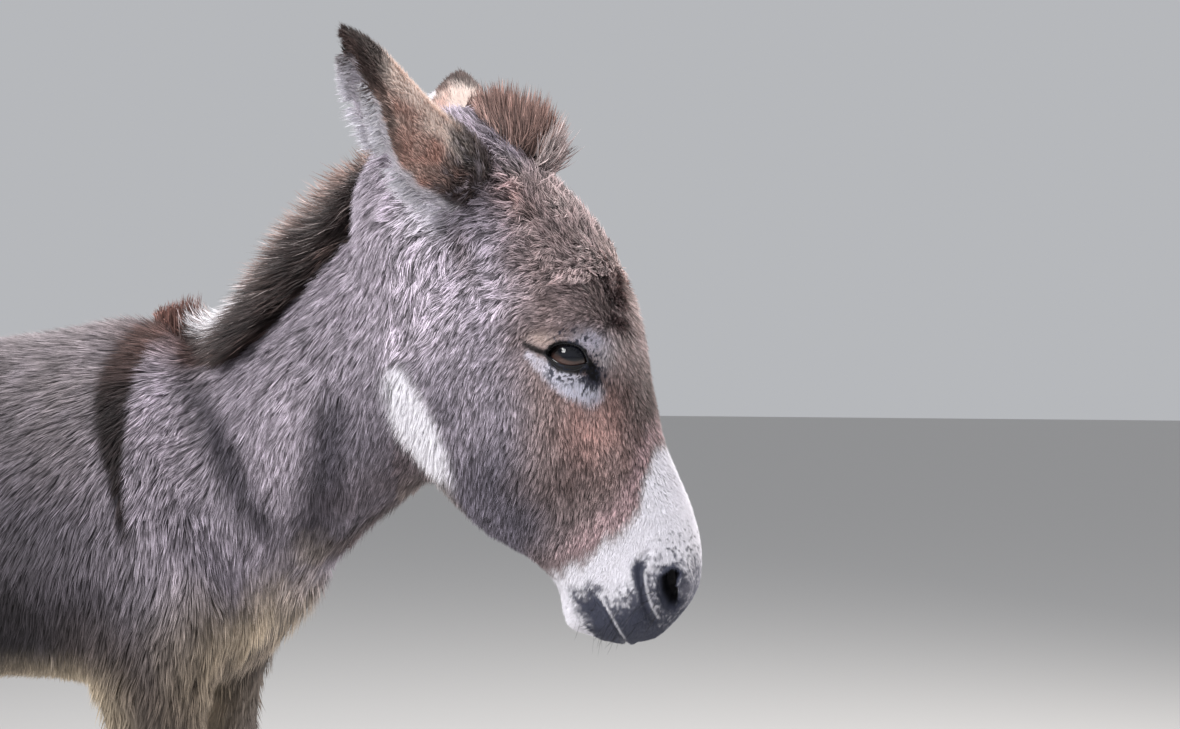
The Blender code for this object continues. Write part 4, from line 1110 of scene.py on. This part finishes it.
def scattered(t, weight, count):
    """Triangles drawn by weight, evenly through the list, and a random place in each."""
    total = np.cumsum(weight)
    pick = np.searchsorted(total / total[-1], (np.arange(count) + rng.random(count)) / count)
    a, b = rng.random(count), rng.random(count)
    flip = a + b > 1
    a[flip], b[flip] = 1 - a[flip], 1 - b[flip]
    return t[np.minimum(pick, len(t) - 1)], np.stack([1 - a - b, a, b], 1)


def hair_tone(lock):
    """A random brightness for each long hair, and for each lock of them."""
    return (np.exp(rng.normal(-0.04, 0.36, len(lock))) * (0.6 + 0.8 * lock))[:, None]


def gather(roots, tips, every, pull):
    """Draws the tips together in locks, each round one root in every so many."""
    heads = np.sort(rng.permutation(len(roots))[:max(len(roots) // every, 1)])
    tree = KDTree(len(heads))
    for k, p in enumerate(roots[heads]):
        tree.insert(p, k)
    tree.balance()
    nearest = np.array([tree.find(p)[1] for p in roots])
    reach = tips - roots
    lead = reach[heads][nearest]
    target = roots[heads][nearest] + lead * (np.linalg.norm(reach, axis=1) /
                                             np.maximum(np.linalg.norm(lead, axis=1), 1e-6))[:, None]
    return tips + (target - tips) * pull[:, None], lattice(np.column_stack([nearest, nearest, nearest]), 21)


def turned(ways, normal, angle):
    c, s = np.cos(angle)[:, None], np.sin(angle)[:, None]
    return ways * c + np.cross(normal, ways) * s


class Skin:
    """The finished skin and what the coat needs to know at each of its points."""

    def __init__(self):
        self.points, self.tris, self.label, self.hole = build_skin()
        self.normal = normals(self.points, self.tris)
        self.way, self.length, self.curl = coat_field(self.points)
        x, z = self.points[:, 0], self.points[:, 2]
        drop = step(0.16, 0.02, x) * step(-0.95, -0.8, x) * step(0.56, 0.66, z)
        self.way = unit(self.way - np.outer(0.75 * drop, (0, 0, 1)))
        self.inward = np.zeros(len(self.points))
        for name in SIDES:
            own = self.label == EAR[name]
            root, rows, _ = ear_frame(name)
            local, s = in_ear(self.points[own], name)
            faces_in = self.normal[own] @ rows[1]
            toward = -np.sign(local[:, 2]) * (self.normal[own] @ rows[2])
            cupped = faces_in + 0.8 * np.maximum(toward, 0) - 0.3
            self.inward[own] = step(-0.1, 0.35, cupped) * step(1.02, 0.9, s)
            spread = np.sign(local[:, 2])[:, None] * rows[2] * 0.25
            self.way[own] = unit(rows[0] + spread * (1 - self.inward[own])[:, None])
            self.length[own] = 0.011 + 0.01 * self.inward[own] * step(0.9, 0.3, s) + 0.007 * step(0.4, 0.1, s)
            self.curl[own] = 0.1 + 0.3 * step(0.3, 0.1, s)
            apart = np.linalg.norm(self.points - root - rows[0] * 0.012, axis=1)
            close = step(0.072, 0.042, apart) * (self.label < 2)
            self.way = unit(self.way + rows[0] * (1.6 * close)[:, None])
            self.length = np.maximum(self.length, 0.024 * close)
        for side in SIDES.values():
            local = in_eye(self.points, side)
            gap = gap_to(local[:, :2], RIM)
            most = 0.0028 + 0.0042 * step(0.007, 0.024, gap) + 0.02 * step(0.024, 0.045, gap)
            close = (np.abs(local[:, 2]) < 0.05) & (gap < 0.05)
            self.length = np.where(close, np.minimum(self.length, most), self.length)
        self.tint = tint_of(self.points, self.label, self.inward)
        self.bare = self.bareness()
        self.area = areas(self.points, self.tris)

    def bareness(self):
        """1 where no hair grows: in the nostrils, along the mouth and in the eyes."""
        h = to_head(self.points)
        bare = step(0.05, 0.3, self.hole)
        line = on_line(MOUTH, h[:, 0])
        muzzle = (h[:, 0] > 0.425) & (self.label == 0)
        bare = np.maximum(bare, muzzle * bump(h[:, 1] - line, 0, 0.003))
        for side in SIDES.values():
            local = in_eye(self.points, side)
            gap = gap_to(local[:, :2], RIM)
            inside = np.hypot(local[:, 0] / 0.0175, local[:, 1] / 0.01) < 1
            close = np.abs(local[:, 2]) < 0.05
            bare = np.maximum(bare, close * np.maximum(inside, step(0.003, 0.0018, gap)))
        return bare

    def sow(self, choice, count, dense=1.0):
        """Roots spread over the chosen triangles, more where hair is short and fine."""
        chosen = np.flatnonzero(choice)
        t = self.tris[chosen]
        long = self.length[t].mean(1)
        cover = (step(0.0, 0.012, long) + 0.15) / ((0.0005 + 0.042 * long) * long)
        if np.ndim(dense):
            cover = cover * dense[chosen]
        weight = self.area[chosen] * cover * (1 - self.bare[t].max(1))
        t, share = scattered(t, weight, count)
        return lambda values: (values[t] * (share[..., None] if values.ndim > 1 else share)).sum(1), t[:, 0]


def coat(skin, name, choice, count, dense=1.0, every=9, pull=0.5, curled=False, thick=1.0, spread=0.34,
         base=0.3, tips=1.5, wild=1.0):
    """One piece of the coat, of single short tufts drawn together in locks."""
    at, corner = skin.sow(choice, count, dense)
    root = at(skin.points)
    n = unit(at(skin.normal))
    way = at(skin.way)
    way = unit(way - n * (way * n).sum(1)[:, None])
    length = at(skin.length) * rng.uniform(0.6, 1.15, count)
    curl = at(skin.curl)
    turn = (0.24 + 1.7 * curl) * noise(root, 0.014, 31) + (0.16 + 0.4 * curl) * noise(root, 0.045, 32)
    turn += rng.normal(0, 0.09 + 0.22 * curl, count)
    way = turned(way, n, turn * wild)
    lift = np.clip(0.36 * length, 0.001, 0.011) * rng.uniform(0.5, 1.3, count)
    lift *= 1 + 0.45 * curl
    tip = root + way * (length * 0.93)[:, None] + n * lift[:, None]
    tip, lock = gather(root, tip, every, pull * rng.uniform(0.4, 1.0, count))
    side = unit(np.cross(tip - root, n))
    width = (0.0004 + 0.034 * length) * thick * rng.uniform(0.7, 1.25, count)
    tint = tint_of(root + (tip - root) * 0.6, skin.label[corner], at(skin.inward))
    tone = np.exp(rng.normal(-0.05, spread, count) + (lock - 0.5) * 2.6 * spread)
    even = np.maximum(0.75 * step(0.0075, 0.005, at(skin.length)), 0.7 * step(0.45, 0.75, tint.min(1)))
    tint = tint * (1 + (np.clip(tone, 0.3, 2.4) - 1) * (1 - even))[:, None]
    place = chart_places(root, n, skin.label[corner])
    root = root - n * np.minimum(0.0008, 0.3 * lift)[:, None]
    # less painted shade at the roots where the hair is short or pale
    light = np.maximum(step(0.008, 0.0052, at(skin.length)), 0.8 * step(0.45, 0.75, tint.min(1)))
    base = base + (0.85 - base) * light
    if curled:
        middle = root + (tip - root) * 0.4 + n * (lift * 0.75)[:, None]
        middle += side * (length * curl * 0.6 * rng.normal(0, 0.7, count))[:, None]
        made = blades(root, middle, tip, side, n, width, 1, tint, place, tips=tips * 1.25, base=0.2)
    else:
        made = darts(root, tip, side, n, width, tint, place, tips, base)
    return hair_piece(name, made, FUR)


def ear_fringe(skin):
    """The long pale hair that stands out along the edges of both ears."""
    count = 9000
    corners = skin.tris[:, 0]
    choice = np.zeros(len(corners), bool)
    for name in SIDES:
        local, s = in_ear(skin.points, name)
        edge = (skin.label == EAR[name]) & (ear_rim_of(s, local[:, 1]) < 0.0065) & (s > 0.0) & (s < 0.98)
        choice |= edge[corners]
    at, corner = skin.sow(choice, count)
    start, n = at(skin.points), unit(at(skin.normal))
    tip, tint, ways = start.copy(), np.empty((count, 3)), np.empty((count, 3))
    for name in SIDES:
        own = skin.label[corner] == EAR[name]
        root, rows, length = ear_frame(name)
        s = ((start[own] - root) @ rows[0]) / length
        amount = own.sum()
        out = np.sign((start[own] - root) @ rows[2])[:, None] * rows[2]
        way = rows[0] * rng.normal(0.5, 0.15, (amount, 1)) + rows[1] * rng.normal(0.8, 0.15, (amount, 1))
        way += out * rng.normal(0.1, 0.3, (amount, 1))
        reach = np.interp(s, (0.0, 0.2, 0.5, 0.75, 0.9, 1.0), (0.026, 0.024, 0.019, 0.013, 0.008, 0.006))
        ways[own] = unit(way)
        tip[own] = start[own] + unit(way) * (reach * rng.uniform(0.55, 1.1, amount))[:, None]
        dark = step(0.7, 0.84, s + rng.normal(0, 0.05, amount))
        tint[own] = mix(WHITE * 1.1, BROWN_DARK, dark)
    tip, lock = gather(start, tip, 10, 0.45 * rng.uniform(0.3, 1.0, count))
    tint = tint * (np.exp(rng.normal(-0.05, 0.22, count)) * (0.85 + 0.3 * lock))[:, None]
    side = unit(np.cross(tip - start, n))
    middle = start + (tip - start) * 0.45 + n * 0.0015
    width = rng.uniform(0.0006, 0.0012, count)
    place = chart_places(start, n, skin.label[corner])
    made = blades(start - n * 0.0006, middle, tip, side, n, width, 1, tint, place, 0.3, 1.15, 0.75)
    return hair_piece("coat_ear_fringe", made, FUR)


# ---------------------------------------------------------------- mane, forelock and tail

NECK_CREST = ((-0.035, 0.0, 1.034), (0.02, -0.01, 1.01), (0.1, -0.04, 1.036), (0.18, -0.084, 1.088),
              (0.262, -0.12, 1.134), (0.35, -0.142, 1.168), tuple(from_head((-0.01, 0.0, 0.0))))


def smooth_line(line, steps):
    line = np.array(line, float)
    ends = np.concatenate([2 * line[:1] - line[1:2], line, 2 * line[-1:] - line[-2:-1]])
    out = []
    for k in range(len(line) - 1):
        p = ends[k:k + 4]
        for t in np.linspace(0, 1, steps, endpoint=k == len(line) - 2):
            out.append(spline(p, t))
    return np.array(out)


def on_solid(node, count):
    """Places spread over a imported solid, with their outward directions."""
    points, tris = solid(node)
    n = normals(points, tris)
    t, share = scattered(tris, areas(points, tris), count)
    share = share[..., None]
    return (points[t] * share).sum(1), unit((n[t] * share).sum(1))


def nearest_on(tree, points):
    found = [tree.find_nearest(Vector(p)) for p in points]
    return np.array([f[0] for f in found]), np.array([f[1] for f in found])


def locks(name, nodes, root, tip, normal, sweep, width, tint, rings, tips=1.5, base=0.8, ends=None):
    """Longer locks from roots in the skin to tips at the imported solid's surface."""
    middle = root + (tip - root) * 0.45 + sweep
    side = unit(np.cross(tip - root, normal))
    place = chart_places(root, normal)
    up = unit(np.cross(side, tip - root))
    made = blades(root, middle, tip, side, up, width, rings, tint, place, 0.3, tips, base, ends)
    obj = hair_piece(name, made, LONG_HAIR)
    if nodes:
        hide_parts(*nodes)
    return obj


def mane(tree):
    """Standing hair on the crest, leaning back over the right side of the lower neck."""
    count = 15500
    tip, _ = on_solid("mane", count)
    crest = smooth_line(NECK_CREST, 14)
    near = np.linalg.norm(tip[:, None] - crest[None], axis=2).argmin(1)
    along = near / (len(crest) - 1)
    ahead = unit(np.gradient(crest, axis=0))[near]
    left = unit(np.cross((0, 0, 1.0), ahead))
    up = np.cross(ahead, left)
    off = tip - crest[near]
    aside, high = (off * left).sum(1), (off * up).sum(1)
    back = np.interp(along, (0.0, 0.08, 0.16, 0.35, 0.65, 0.82, 1.0),
                     (0.01, 0.016, 0.04, 0.05, 0.042, 0.026, 0.012))
    back = back * rng.uniform(0.55, 1.15, count)
    start = crest[near] + ahead * back[:, None]
    start += (left * (0.75 * aside + rng.normal(0, 0.004, count))[:, None]
              + up * (0.8 * np.minimum(high, 0))[:, None])
    start += (ahead * 0.01 - up * 0.014) * (noise(start, 0.02, 43) * step(0.2, 0.3, along))[:, None]
    root, skin_normal = nearest_on(tree, start)
    loose = np.interp(along, (0.0, 0.15, 0.3), (0.06, 0.1, 0.28))
    tip = root + (tip - root) * (1.06 - loose * rng.random(count) * 1.3)[:, None]
    tip += rng.normal(0, 0.0022, (count, 3))
    tip, lock = gather(root, tip, 11, 0.5 * rng.uniform(0.1, 1.0, count))
    slices = 24
    cut = np.minimum((along * slices).astype(int), slices - 1)
    lowest, highest = np.zeros(slices), np.ones(slices)
    for k in np.unique(cut):
        lowest[k], highest[k] = high[cut == k].min(), high[cut == k].max()
    level = (high - lowest[cut]) / (highest[cut] - lowest[cut])
    dark = noise(root, 0.016, 41)
    tint = mix(MANE_DARK * 0.55, BROWN_DARK * 0.6, np.clip(0.15 + 0.5 * dark, 0, 1))
    # ends paler towards the top of the mane: tan tips of its own, with painted light from above; the
    # scattered pale ends are painted highlights
    ends = mix(MANE_DARK * 1.1, colour(172, 146, 138),
               np.clip(step(0.5, 1.0, level) * 0.95 + 0.3 * dark, 0, 1))
    ends = mix(ends, colour(196, 182, 180), 0.6 * (rng.random(count) < 0.2 * level))
    pale = step(0.085, 0.125, along) * step(0.46, 0.3, along)
    pale *= step(0.45, 0.7, level + 0.15 * dark - 0.5 * (along - 0.2))
    pale *= rng.random(count) < 0.88
    tint, ends = mix(tint, CREAM * 0.7, 0.85 * pale), mix(ends, WHITE, 0.9 * pale)
    rust = step(0.135, 0.085, along + rng.normal(0, 0.014, count))
    tint, ends = mix(tint, BROWN_DARK * 0.55, rust), mix(ends, colour(140, 104, 96), rust)
    tone = hair_tone(lock)
    sweep = skin_normal * 0.004 + up * 0.006 - ahead * 0.003 + left * rng.normal(0, 0.002, count)[:, None]
    return locks("coat_mane", ("mane",), root - skin_normal * 0.0015, tip, skin_normal, sweep,
                 rng.uniform(0.0006, 0.0014, count), tint * tone, 2, base=0.8, ends=ends * tone)


def forelock(tree):
    """The brush between the ears, and a paler tuft that stands out in front of it."""
    count = 6000
    tip, _ = on_solid("forelock", count)
    h = to_head(tip)
    front = h[:, 0] + 0.75 * (h[:, 1] - 0.045) > 0.012
    start = np.column_stack([np.minimum(h[:, 0] + 0.043, 0.03), h[:, 1] - 0.02, h[:, 2] * 0.6])
    tuft = np.column_stack([np.full(count, 0.052), np.full(count, 0.01), h[:, 2] * 0.45])
    start = np.where(front[:, None], tuft, start) + rng.normal(0, 0.004, (count, 3))
    root, skin_normal = nearest_on(tree, from_head(start))
    tip = root + (tip - root) * rng.uniform(0.72, 1.08, count)[:, None] + rng.normal(0, 0.0018, (count, 3))
    tip, lock = gather(root, tip, 12, 0.55 * rng.uniform(0.2, 1.0, count))
    tint = mix(MANE_DARK * 0.6, BROWN_DARK * 0.8, 0.6 * rng.random(count))
    ends = mix(colour(172, 142, 134), BROWN_DARK, 0.9 * rng.random(count) ** 2)
    tint = np.where(front[:, None], mix(tint, BROWN, 0.6), tint)
    ends = np.where(front[:, None], mix(ends, colour(212, 200, 200), 0.8), ends)
    tone = hair_tone(lock)
    side = np.broadcast_to(HEAD[2], tip.shape)
    sweep = HEAD[1] * 0.007 + rng.normal(0, 0.0015, (count, 3))
    return locks("coat_forelock", ("forelock",), root - skin_normal * 0.0015, tip, side, sweep,
                 rng.uniform(0.0006, 0.0014, count), tint * tone, 2, base=0.75, ends=ends * tone)


def tail_tuft():
    """The long hair at the end of the tail, from the dock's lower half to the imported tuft's outline."""
    tip, n = on_solid("tail", 12000)
    low = tip[:, 2] < 0.56
    tip, n = tip[low], n[low]
    count = len(tip)
    high = tip[:, 2] + rng.uniform(0.07, 0.17, count)
    start = np.column_stack([np.full(count, -0.948), np.zeros(count), np.clip(high, 0.43, 0.66)])
    out = unit(n * (1, 1, 0))
    start += out * 0.01
    tip, _ = gather(start, tip + rng.normal(0, 0.002, (count, 3)), 14, 0.6 * rng.uniform(0.3, 1, count))
    tint = mix(MANE_DARK, BLACK, rng.random(count) * 0.8)
    tint = mix(tint, BACK_GREY * 0.6, 0.5 * step(0.52, 0.6, start[:, 2]))
    return locks("coat_tail_tuft", (), start, tip, out, out * 0.006, rng.uniform(0.0014, 0.003, count),
                 tint * rng.uniform(0.7, 1.3, count)[:, None], 2, 1.6, 0.8)


# ---------------------------------------------------------------- eyes, lashes, whiskers and hooves

def eyeball(side_name):
    """The eyeball, bulging at the cornea, with a brown iris under painted shade from the lid above, and a
    wide dark pupil with a painted bluish reflection.
    """
    side = SIDES[side_name]
    centre, rows = eye_frame(side)
    rings, turns = 44, 72
    polar = (np.linspace(0, 1, rings) ** 1.15)[:, None] * math.pi
    turn = np.linspace(0, 2 * math.pi, turns, endpoint=False)[None]
    x, y, z = np.sin(polar) * np.cos(turn), np.sin(polar) * np.sin(turn), np.cos(polar) * np.ones_like(turn)
    cornea = step(0.62, 0.2, np.hypot(x, y)) * (z > 0)
    radius = EYE_RADIUS + 0.0008 * cornea
    local = np.stack([x, y, z], -1) * radius[..., None]
    flat = local.reshape(-1, 3)
    i, j = np.meshgrid(np.arange(rings - 1), np.arange(turns), indexing="ij")
    a, b = i * turns + j, i * turns + (j + 1) % turns
    tris = np.concatenate([np.stack([a, a + turns, b + turns], -1).reshape(-1, 3),
                           np.stack([a, b + turns, b], -1).reshape(-1, 3)])
    if side > 0:
        tris = tris[:, ::-1]
    across, up = flat[:, 0] / EYE_RADIUS, flat[:, 1] / EYE_RADIUS
    r = np.hypot(across, up)
    streak = noise(np.column_stack([np.arctan2(up, across) * 3.0, r * 1.2, r * 0]), 0.12, 51)
    # the iris is brown only below; above it stays dark with painted shade from the upper lid and lashes
    tint = mix(colour(24, 20, 20), colour(88, 64, 58),
               step(0.9, 0.74, r) * (0.75 + 0.25 * streak) * step(0.15, -0.3, up))
    # the pupil's blue tinge is a painted reflection
    pupil = np.hypot((across - 0.1) / 0.64, (up - 0.2) / 0.36)
    tint = mix(tint, colour(13, 15, 24), step(1.12, 0.92, pupil))
    made = piece("eyeball_" + side_name, centre + flat @ rows, tris, EYE, tint,
                 chart_places(flat, unit(flat)))
    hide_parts("eye_" + side_name)
    return made


def tube(path, radius, closed):
    """A round tube along points, drawn to a point at both ends unless it closes on itself."""
    count, around = len(path), 10
    ahead = np.roll(path, -1, 0) - np.roll(path, 1, 0) if closed else np.gradient(path, axis=0)
    ahead = unit(ahead)
    side = unit(np.cross(ahead, path - path.mean(0) + 1e-6))
    up = np.cross(side, ahead)
    taper = np.ones(count) if closed else np.sin(np.linspace(0.02, math.pi - 0.02, count)) ** 0.6
    turn = np.linspace(0, 2 * math.pi, around, endpoint=False)
    ring = side[:, None] * np.cos(turn)[None, :, None] + up[:, None] * np.sin(turn)[None, :, None]
    points = path[:, None] + ring * (radius * taper)[:, None, None]
    tris = []
    for i in range(count if closed else count - 1):
        for j in range(around):
            a, b = i * around + j, i * around + (j + 1) % around
            c, d = (a + around) % (count * around), (b + around) % (count * around)
            tris += [(a, b, d), (a, d, c)]
    points = points.reshape(-1, 3)
    if not closed:
        for end, at in ((path[0], 0), (path[-1], count - 1)):
            for j in range(around):
                a, b = at * around + j, at * around + (j + 1) % around
                tris.append((len(points), b, a) if at == 0 else (len(points), a, b))
            points = np.concatenate([points, end[None]])
    return points, np.array(tris)


def lid_margins(side_name, tree):
    """The wet black edge of the lids, and the fold below it."""
    side = SIDES[side_name]
    rim = opening_rim(np.linspace(0, 2 * math.pi, 90, endpoint=False))
    flat = rim + unit(rim) * 0.0004
    edge = out_of_eye(np.column_stack([flat, over_ball(flat, 0.0012)]), side)
    low = opening_rim(np.linspace(1.04 * math.pi, 1.94 * math.pi, 60))
    below = np.column_stack([low + unit(low) * 0.0036, np.full(60, 0.016)])
    at, way = nearest_on(tree, out_of_eye(below, side))
    parts = [tube(edge, 0.001, True), tube(at - way * 0.0001, 0.0011, False)]
    parts = [(p, t if volume(p, t) > 0 else t[:, ::-1]) for p, t in parts]
    points, tris = stacked(parts)
    tint = np.broadcast_to(colour(20, 20, 25), points.shape)
    made = piece("lid_margin_" + side_name, points, tris, EYE, tint,
                 chart_places(points, normals(points, tris)))
    return made


def lashes():
    """Upper lashes of each eye, and whiskers beside the mouth and nose."""
    hairs, feelers = 90, 70
    roots, tips, wide = [], [], []
    for side in SIDES.values():
        a = rng.uniform(-0.015, 0.017, hairs)
        b = on_line(OPENING[:7], a) + 0.0014
        high = np.sqrt(np.maximum((EYE_RADIUS + 0.0026) ** 2 - a ** 2 - b ** 2, 1e-6))
        start = np.column_stack([a, b, high])
        reach = rng.uniform(0.006, 0.011, hairs)[:, None]
        sweep = np.column_stack([a * 14, np.full(hairs, -0.05) + rng.normal(0, 0.2, hairs), np.ones(hairs)])
        roots.append(out_of_eye(start, side))
        tips.append(out_of_eye(start + sweep * reach, side))
        wide.append(np.full(hairs, 0.00045))
        t = rng.uniform(0.425, 0.487, feelers)
        u = rng.uniform(-0.105, 0.0, feelers)
        roots.append(from_head(np.column_stack([t, u, np.full(feelers, side * 0.06)])))
        way = unit(np.column_stack([rng.normal(0.6, 0.3, feelers), rng.normal(-0.5, 0.3, feelers),
                                    np.full(feelers, side * 0.8)]))
        tips.append(roots[-1] + (way * rng.uniform(0.012, 0.032, feelers)[:, None]) @ HEAD)
        wide.append(np.full(feelers, 0.0004))
    return roots, tips, wide


def whiskers(tree):
    """The lashes and whiskers as one piece, the whiskers rooted on the skin."""
    roots, tips, wide = lashes()
    for k in (1, 3):
        place, _ = nearest_on(tree, roots[k])
        tips[k] += place - roots[k]
        roots[k] = place
    root, tip, width = (np.concatenate(v) for v in (roots, tips, wide))
    normal = unit(np.cross(tip - root, (0, 0, 1.0)))
    tint = np.broadcast_to(BLACK * 1.5, root.shape)
    return locks("lashes_and_whiskers", (), root, tip, normal, (0, 0, -0.0012), width, tint, 3, 1.0, 1.0)


def hoof(name):
    """A hoof with growth rings, a rounded toe edge and a flat sole."""
    points, tris = fused([solid(name)], HOOF_CELL)
    net = Net(len(points), tris)
    points = net.smooth(points, 8)
    n = normals(points, tris)
    middle = points.mean(0)
    height = points[:, 2] - 0.35 * (points[:, 0] - middle[0])
    wall = step(0.7, 0.3, np.abs(n[:, 2]))
    ridge = np.sin(height * 1150 + 1.5 * noise(points, 0.03, 61))
    ridge = ridge * 0.00035 + 0.0004 * noise(points, 0.012, 62)
    points = points + n * (ridge * wall)[:, None]
    points[:, 2] = np.maximum(points[:, 2], 0.0005)
    streak = noise(points * (1, 1, 0.12), 0.004, 63)
    tint = mix(colour(44, 40, 40), colour(104, 96, 90),
               np.clip(0.35 + 0.35 * streak + 0.25 * step(0.05, 0.0, points[:, 2]), 0, 1))
    made = piece(name + "_horn", points, tris, HORN, tint,
                 chart_places(points, n))
    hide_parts(name)
    return made


# ---------------------------------------------------------------- the whole animal

def skin_piece(skin):
    """The skin as a mesh, with painted shade under long hair and in the nostrils, with its OFBake unwrap by
    triangle.
    """
    t = skin.tris
    a, b, c = (skin.points[t[:, k]] for k in range(3))
    face = unit(np.cross(b - a, c - a))
    region = skin.label[t[:, 0]]
    corners = skin.points[t].reshape(-1, 3)
    patch = chart_places(corners, np.repeat(face, 3, 0), np.repeat(region, 3))
    thin = np.maximum(step(-0.3, -0.42, skin.points[:, 0]), skin.label > 3)
    plain = np.maximum(step(0.0075, 0.0045, skin.length), 0.6 * thin)
    # painted shade where long hair covers the skin
    tint = skin.tint * (0.42 + 0.53 * plain)[:, None]
    # nostrils painted near black: painted shade in their depth
    tint = mix(tint, BLACK * 0.5, 0.93 * step(0.15, 0.75, skin.hole))
    made = piece("skin", skin.points, t, HIDE, tint, patch)
    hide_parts(*FLESH, "ear_right", "ear_left")
    return made


# borders of the coat's pieces: along the face from the poll, and along the trunk
MUZZLE_FROM, FACE_FROM = 0.385, 0.165
SHOULDERS_TO, RUMP_FROM = -0.34, -0.6


def dress():
    """Makes every piece, in a fixed order, as all share one stream of random numbers."""
    skin = Skin()
    skin_piece(skin)
    first = skin.tris[:, 0]
    label = skin.label[first]
    middle = skin.points[skin.tris].mean(1)
    h = to_head(middle)
    head = (label == 0) | (label == LID)
    muzzle = head & (h[:, 0] > MUZZLE_FROM)
    face = head & ~muzzle & (h[:, 0] > FACE_FROM)
    poll = head & (h[:, 0] <= FACE_FROM)
    right = h[:, 2] < 0
    coat(skin, "coat_muzzle", muzzle, 42000, np.where(right, 1.8, 1.0), every=4, pull=0.2, spread=0.1,
         base=0.85, tips=1.15)
    coat(skin, "coat_face_right", face & right, 95000, every=11, pull=0.7, thick=0.85, spread=0.44,
         base=0.26)
    coat(skin, "coat_face_left", face & ~right, 34000, every=9, pull=0.4, thick=1.5)
    coat(skin, "coat_poll_right", poll & right, 48000, every=15, pull=0.9, curled=True, thick=0.9,
         spread=0.7)
    coat(skin, "coat_poll_left", poll & ~right, 16000, every=10, pull=0.55, curled=True, thick=1.4,
         spread=0.4)
    neck = label == 1
    own = middle[:, 1] < middle_of(middle[:, 0])
    coat(skin, "coat_neck_right", neck & own, 95000, every=14, pull=0.72, thick=0.72, spread=0.4,
         base=0.28, wild=0.8)
    coat(skin, "coat_neck_left", neck & ~own, 28000, every=11, pull=0.55, thick=1.3)
    trunk = label == 2
    fore = middle[:, 0] > SHOULDERS_TO
    seen = np.where(own & (middle[:, 2] > 0.6), 4.0, 1.0)
    coat(skin, "coat_shoulders", trunk & fore, 94000, seen, every=10, pull=0.5, thick=0.66, spread=0.3,
         base=0.38, tips=1.45, wild=0.55)
    hind = middle[:, 0] <= RUMP_FROM
    for name, choice, count in (("barrel", ~fore & ~hind, 26000), ("rump", hind, 30000)):
        coat(skin, "coat_" + name, trunk & choice, count, every=7, pull=0.4, thick=1.8, spread=0.2,
             base=0.48, tips=1.25)
    coat(skin, "coat_tail", label == 3, 6000, every=8, pull=0.4, thick=1.5)
    coat(skin, "coat_legs", (label >= 4) & (label < LID), 34000, every=5, pull=0.3, thick=1.6, spread=0.13,
         base=0.62, tips=1.15)
    coat(skin, "coat_ears", label > LID, 38000, every=8, pull=0.45, thick=0.9, spread=0.3)
    ear_fringe(skin)
    tree = BVHTree.FromPolygons(skin.points.tolist(), skin.tris.tolist())
    mane(tree)
    forelock(tree)
    tail_tuft()
    whiskers(tree)
    for name in SIDES:
        eyeball(name)
        lid_margins(name, tree)
        hoof("forehoof_" + name)
        hoof("hindhoof_" + name)


dress()


# ---------------------------------------------------------------- floor, light and camera

# the camera judged from the photo: turned to the left, level, with a lens in mm
VIEW_TURN = math.radians(17.0)
CAMERA_AT = np.array((0.9572, -1.6419, 0.985))
FOCAL = 51.86


def aimed(obj, place, target):
    obj.location = place
    obj.rotation_euler = (Vector(target) - Vector(place)).to_track_quat("-Z", "Y").to_euler()
    bpy.context.scene.collection.objects.link(obj)
    return obj


def area_light(name, place, target, size, power, tone=(1, 1, 1)):
    light = bpy.data.lights.new(name, "AREA")
    light.size = size
    light.energy = power
    light.color = tone
    shift = Vector(SHIFT)
    return aimed(bpy.data.objects.new(name, light), Vector(place) + shift, Vector(target) + shift)


def studio():
    """A plain floor, a pale world, three lamps and the camera."""
    scene = bpy.context.scene
    world = bpy.data.worlds.new("studio")
    world.use_nodes = True
    world.node_tree.nodes["Background"].inputs["Color"].default_value = (0.9, 0.92, 0.96, 1)
    world.node_tree.nodes["Background"].inputs["Strength"].default_value = 0.52
    scene.world = world
    mesh = bpy.data.meshes.new("floor")
    half = 30.0
    corners = [(x * half, y * half, 0) for x, y in ((-1, -1), (1, -1), (1, 1), (-1, 1))]
    mesh.from_pydata(corners, [], [(0, 1, 2, 3)])
    floor = bpy.data.objects.new("floor", mesh)
    scene.collection.objects.link(floor)
    pale = bpy.data.materials.new("pale_floor")
    pale.use_nodes = True
    pale.node_tree.nodes["Principled BSDF"].inputs["Base Color"].default_value = (0.56, 0.55, 0.54, 1)
    pale.node_tree.nodes["Principled BSDF"].inputs["Roughness"].default_value = 0.9
    mesh.materials.append(pale)
    head = from_head((0.22, 0.0, 0.0))
    area_light("key", (-0.9, -2.9, 3.3), head, 1.5, 150, (1.0, 0.99, 0.98))
    area_light("rim", (2.6, 2.0, 2.6), head, 1.6, 120, (1.0, 0.96, 0.92))
    area_light("top", (-0.6, 1.0, 3.6), (-0.3, 0, 0.9), 2.5, 70)
    camera = bpy.data.cameras.new("camera")
    camera.lens = FOCAL
    camera.sensor_width = 36.0
    camera.clip_start = 0.05
    look = np.array((-math.sin(VIEW_TURN), math.cos(VIEW_TURN), 0.0))
    spot = CAMERA_AT + SHIFT
    scene.camera = aimed(bpy.data.objects.new("camera", camera), spot, spot + look)
    scene.view_settings.view_transform = "Standard"


studio()
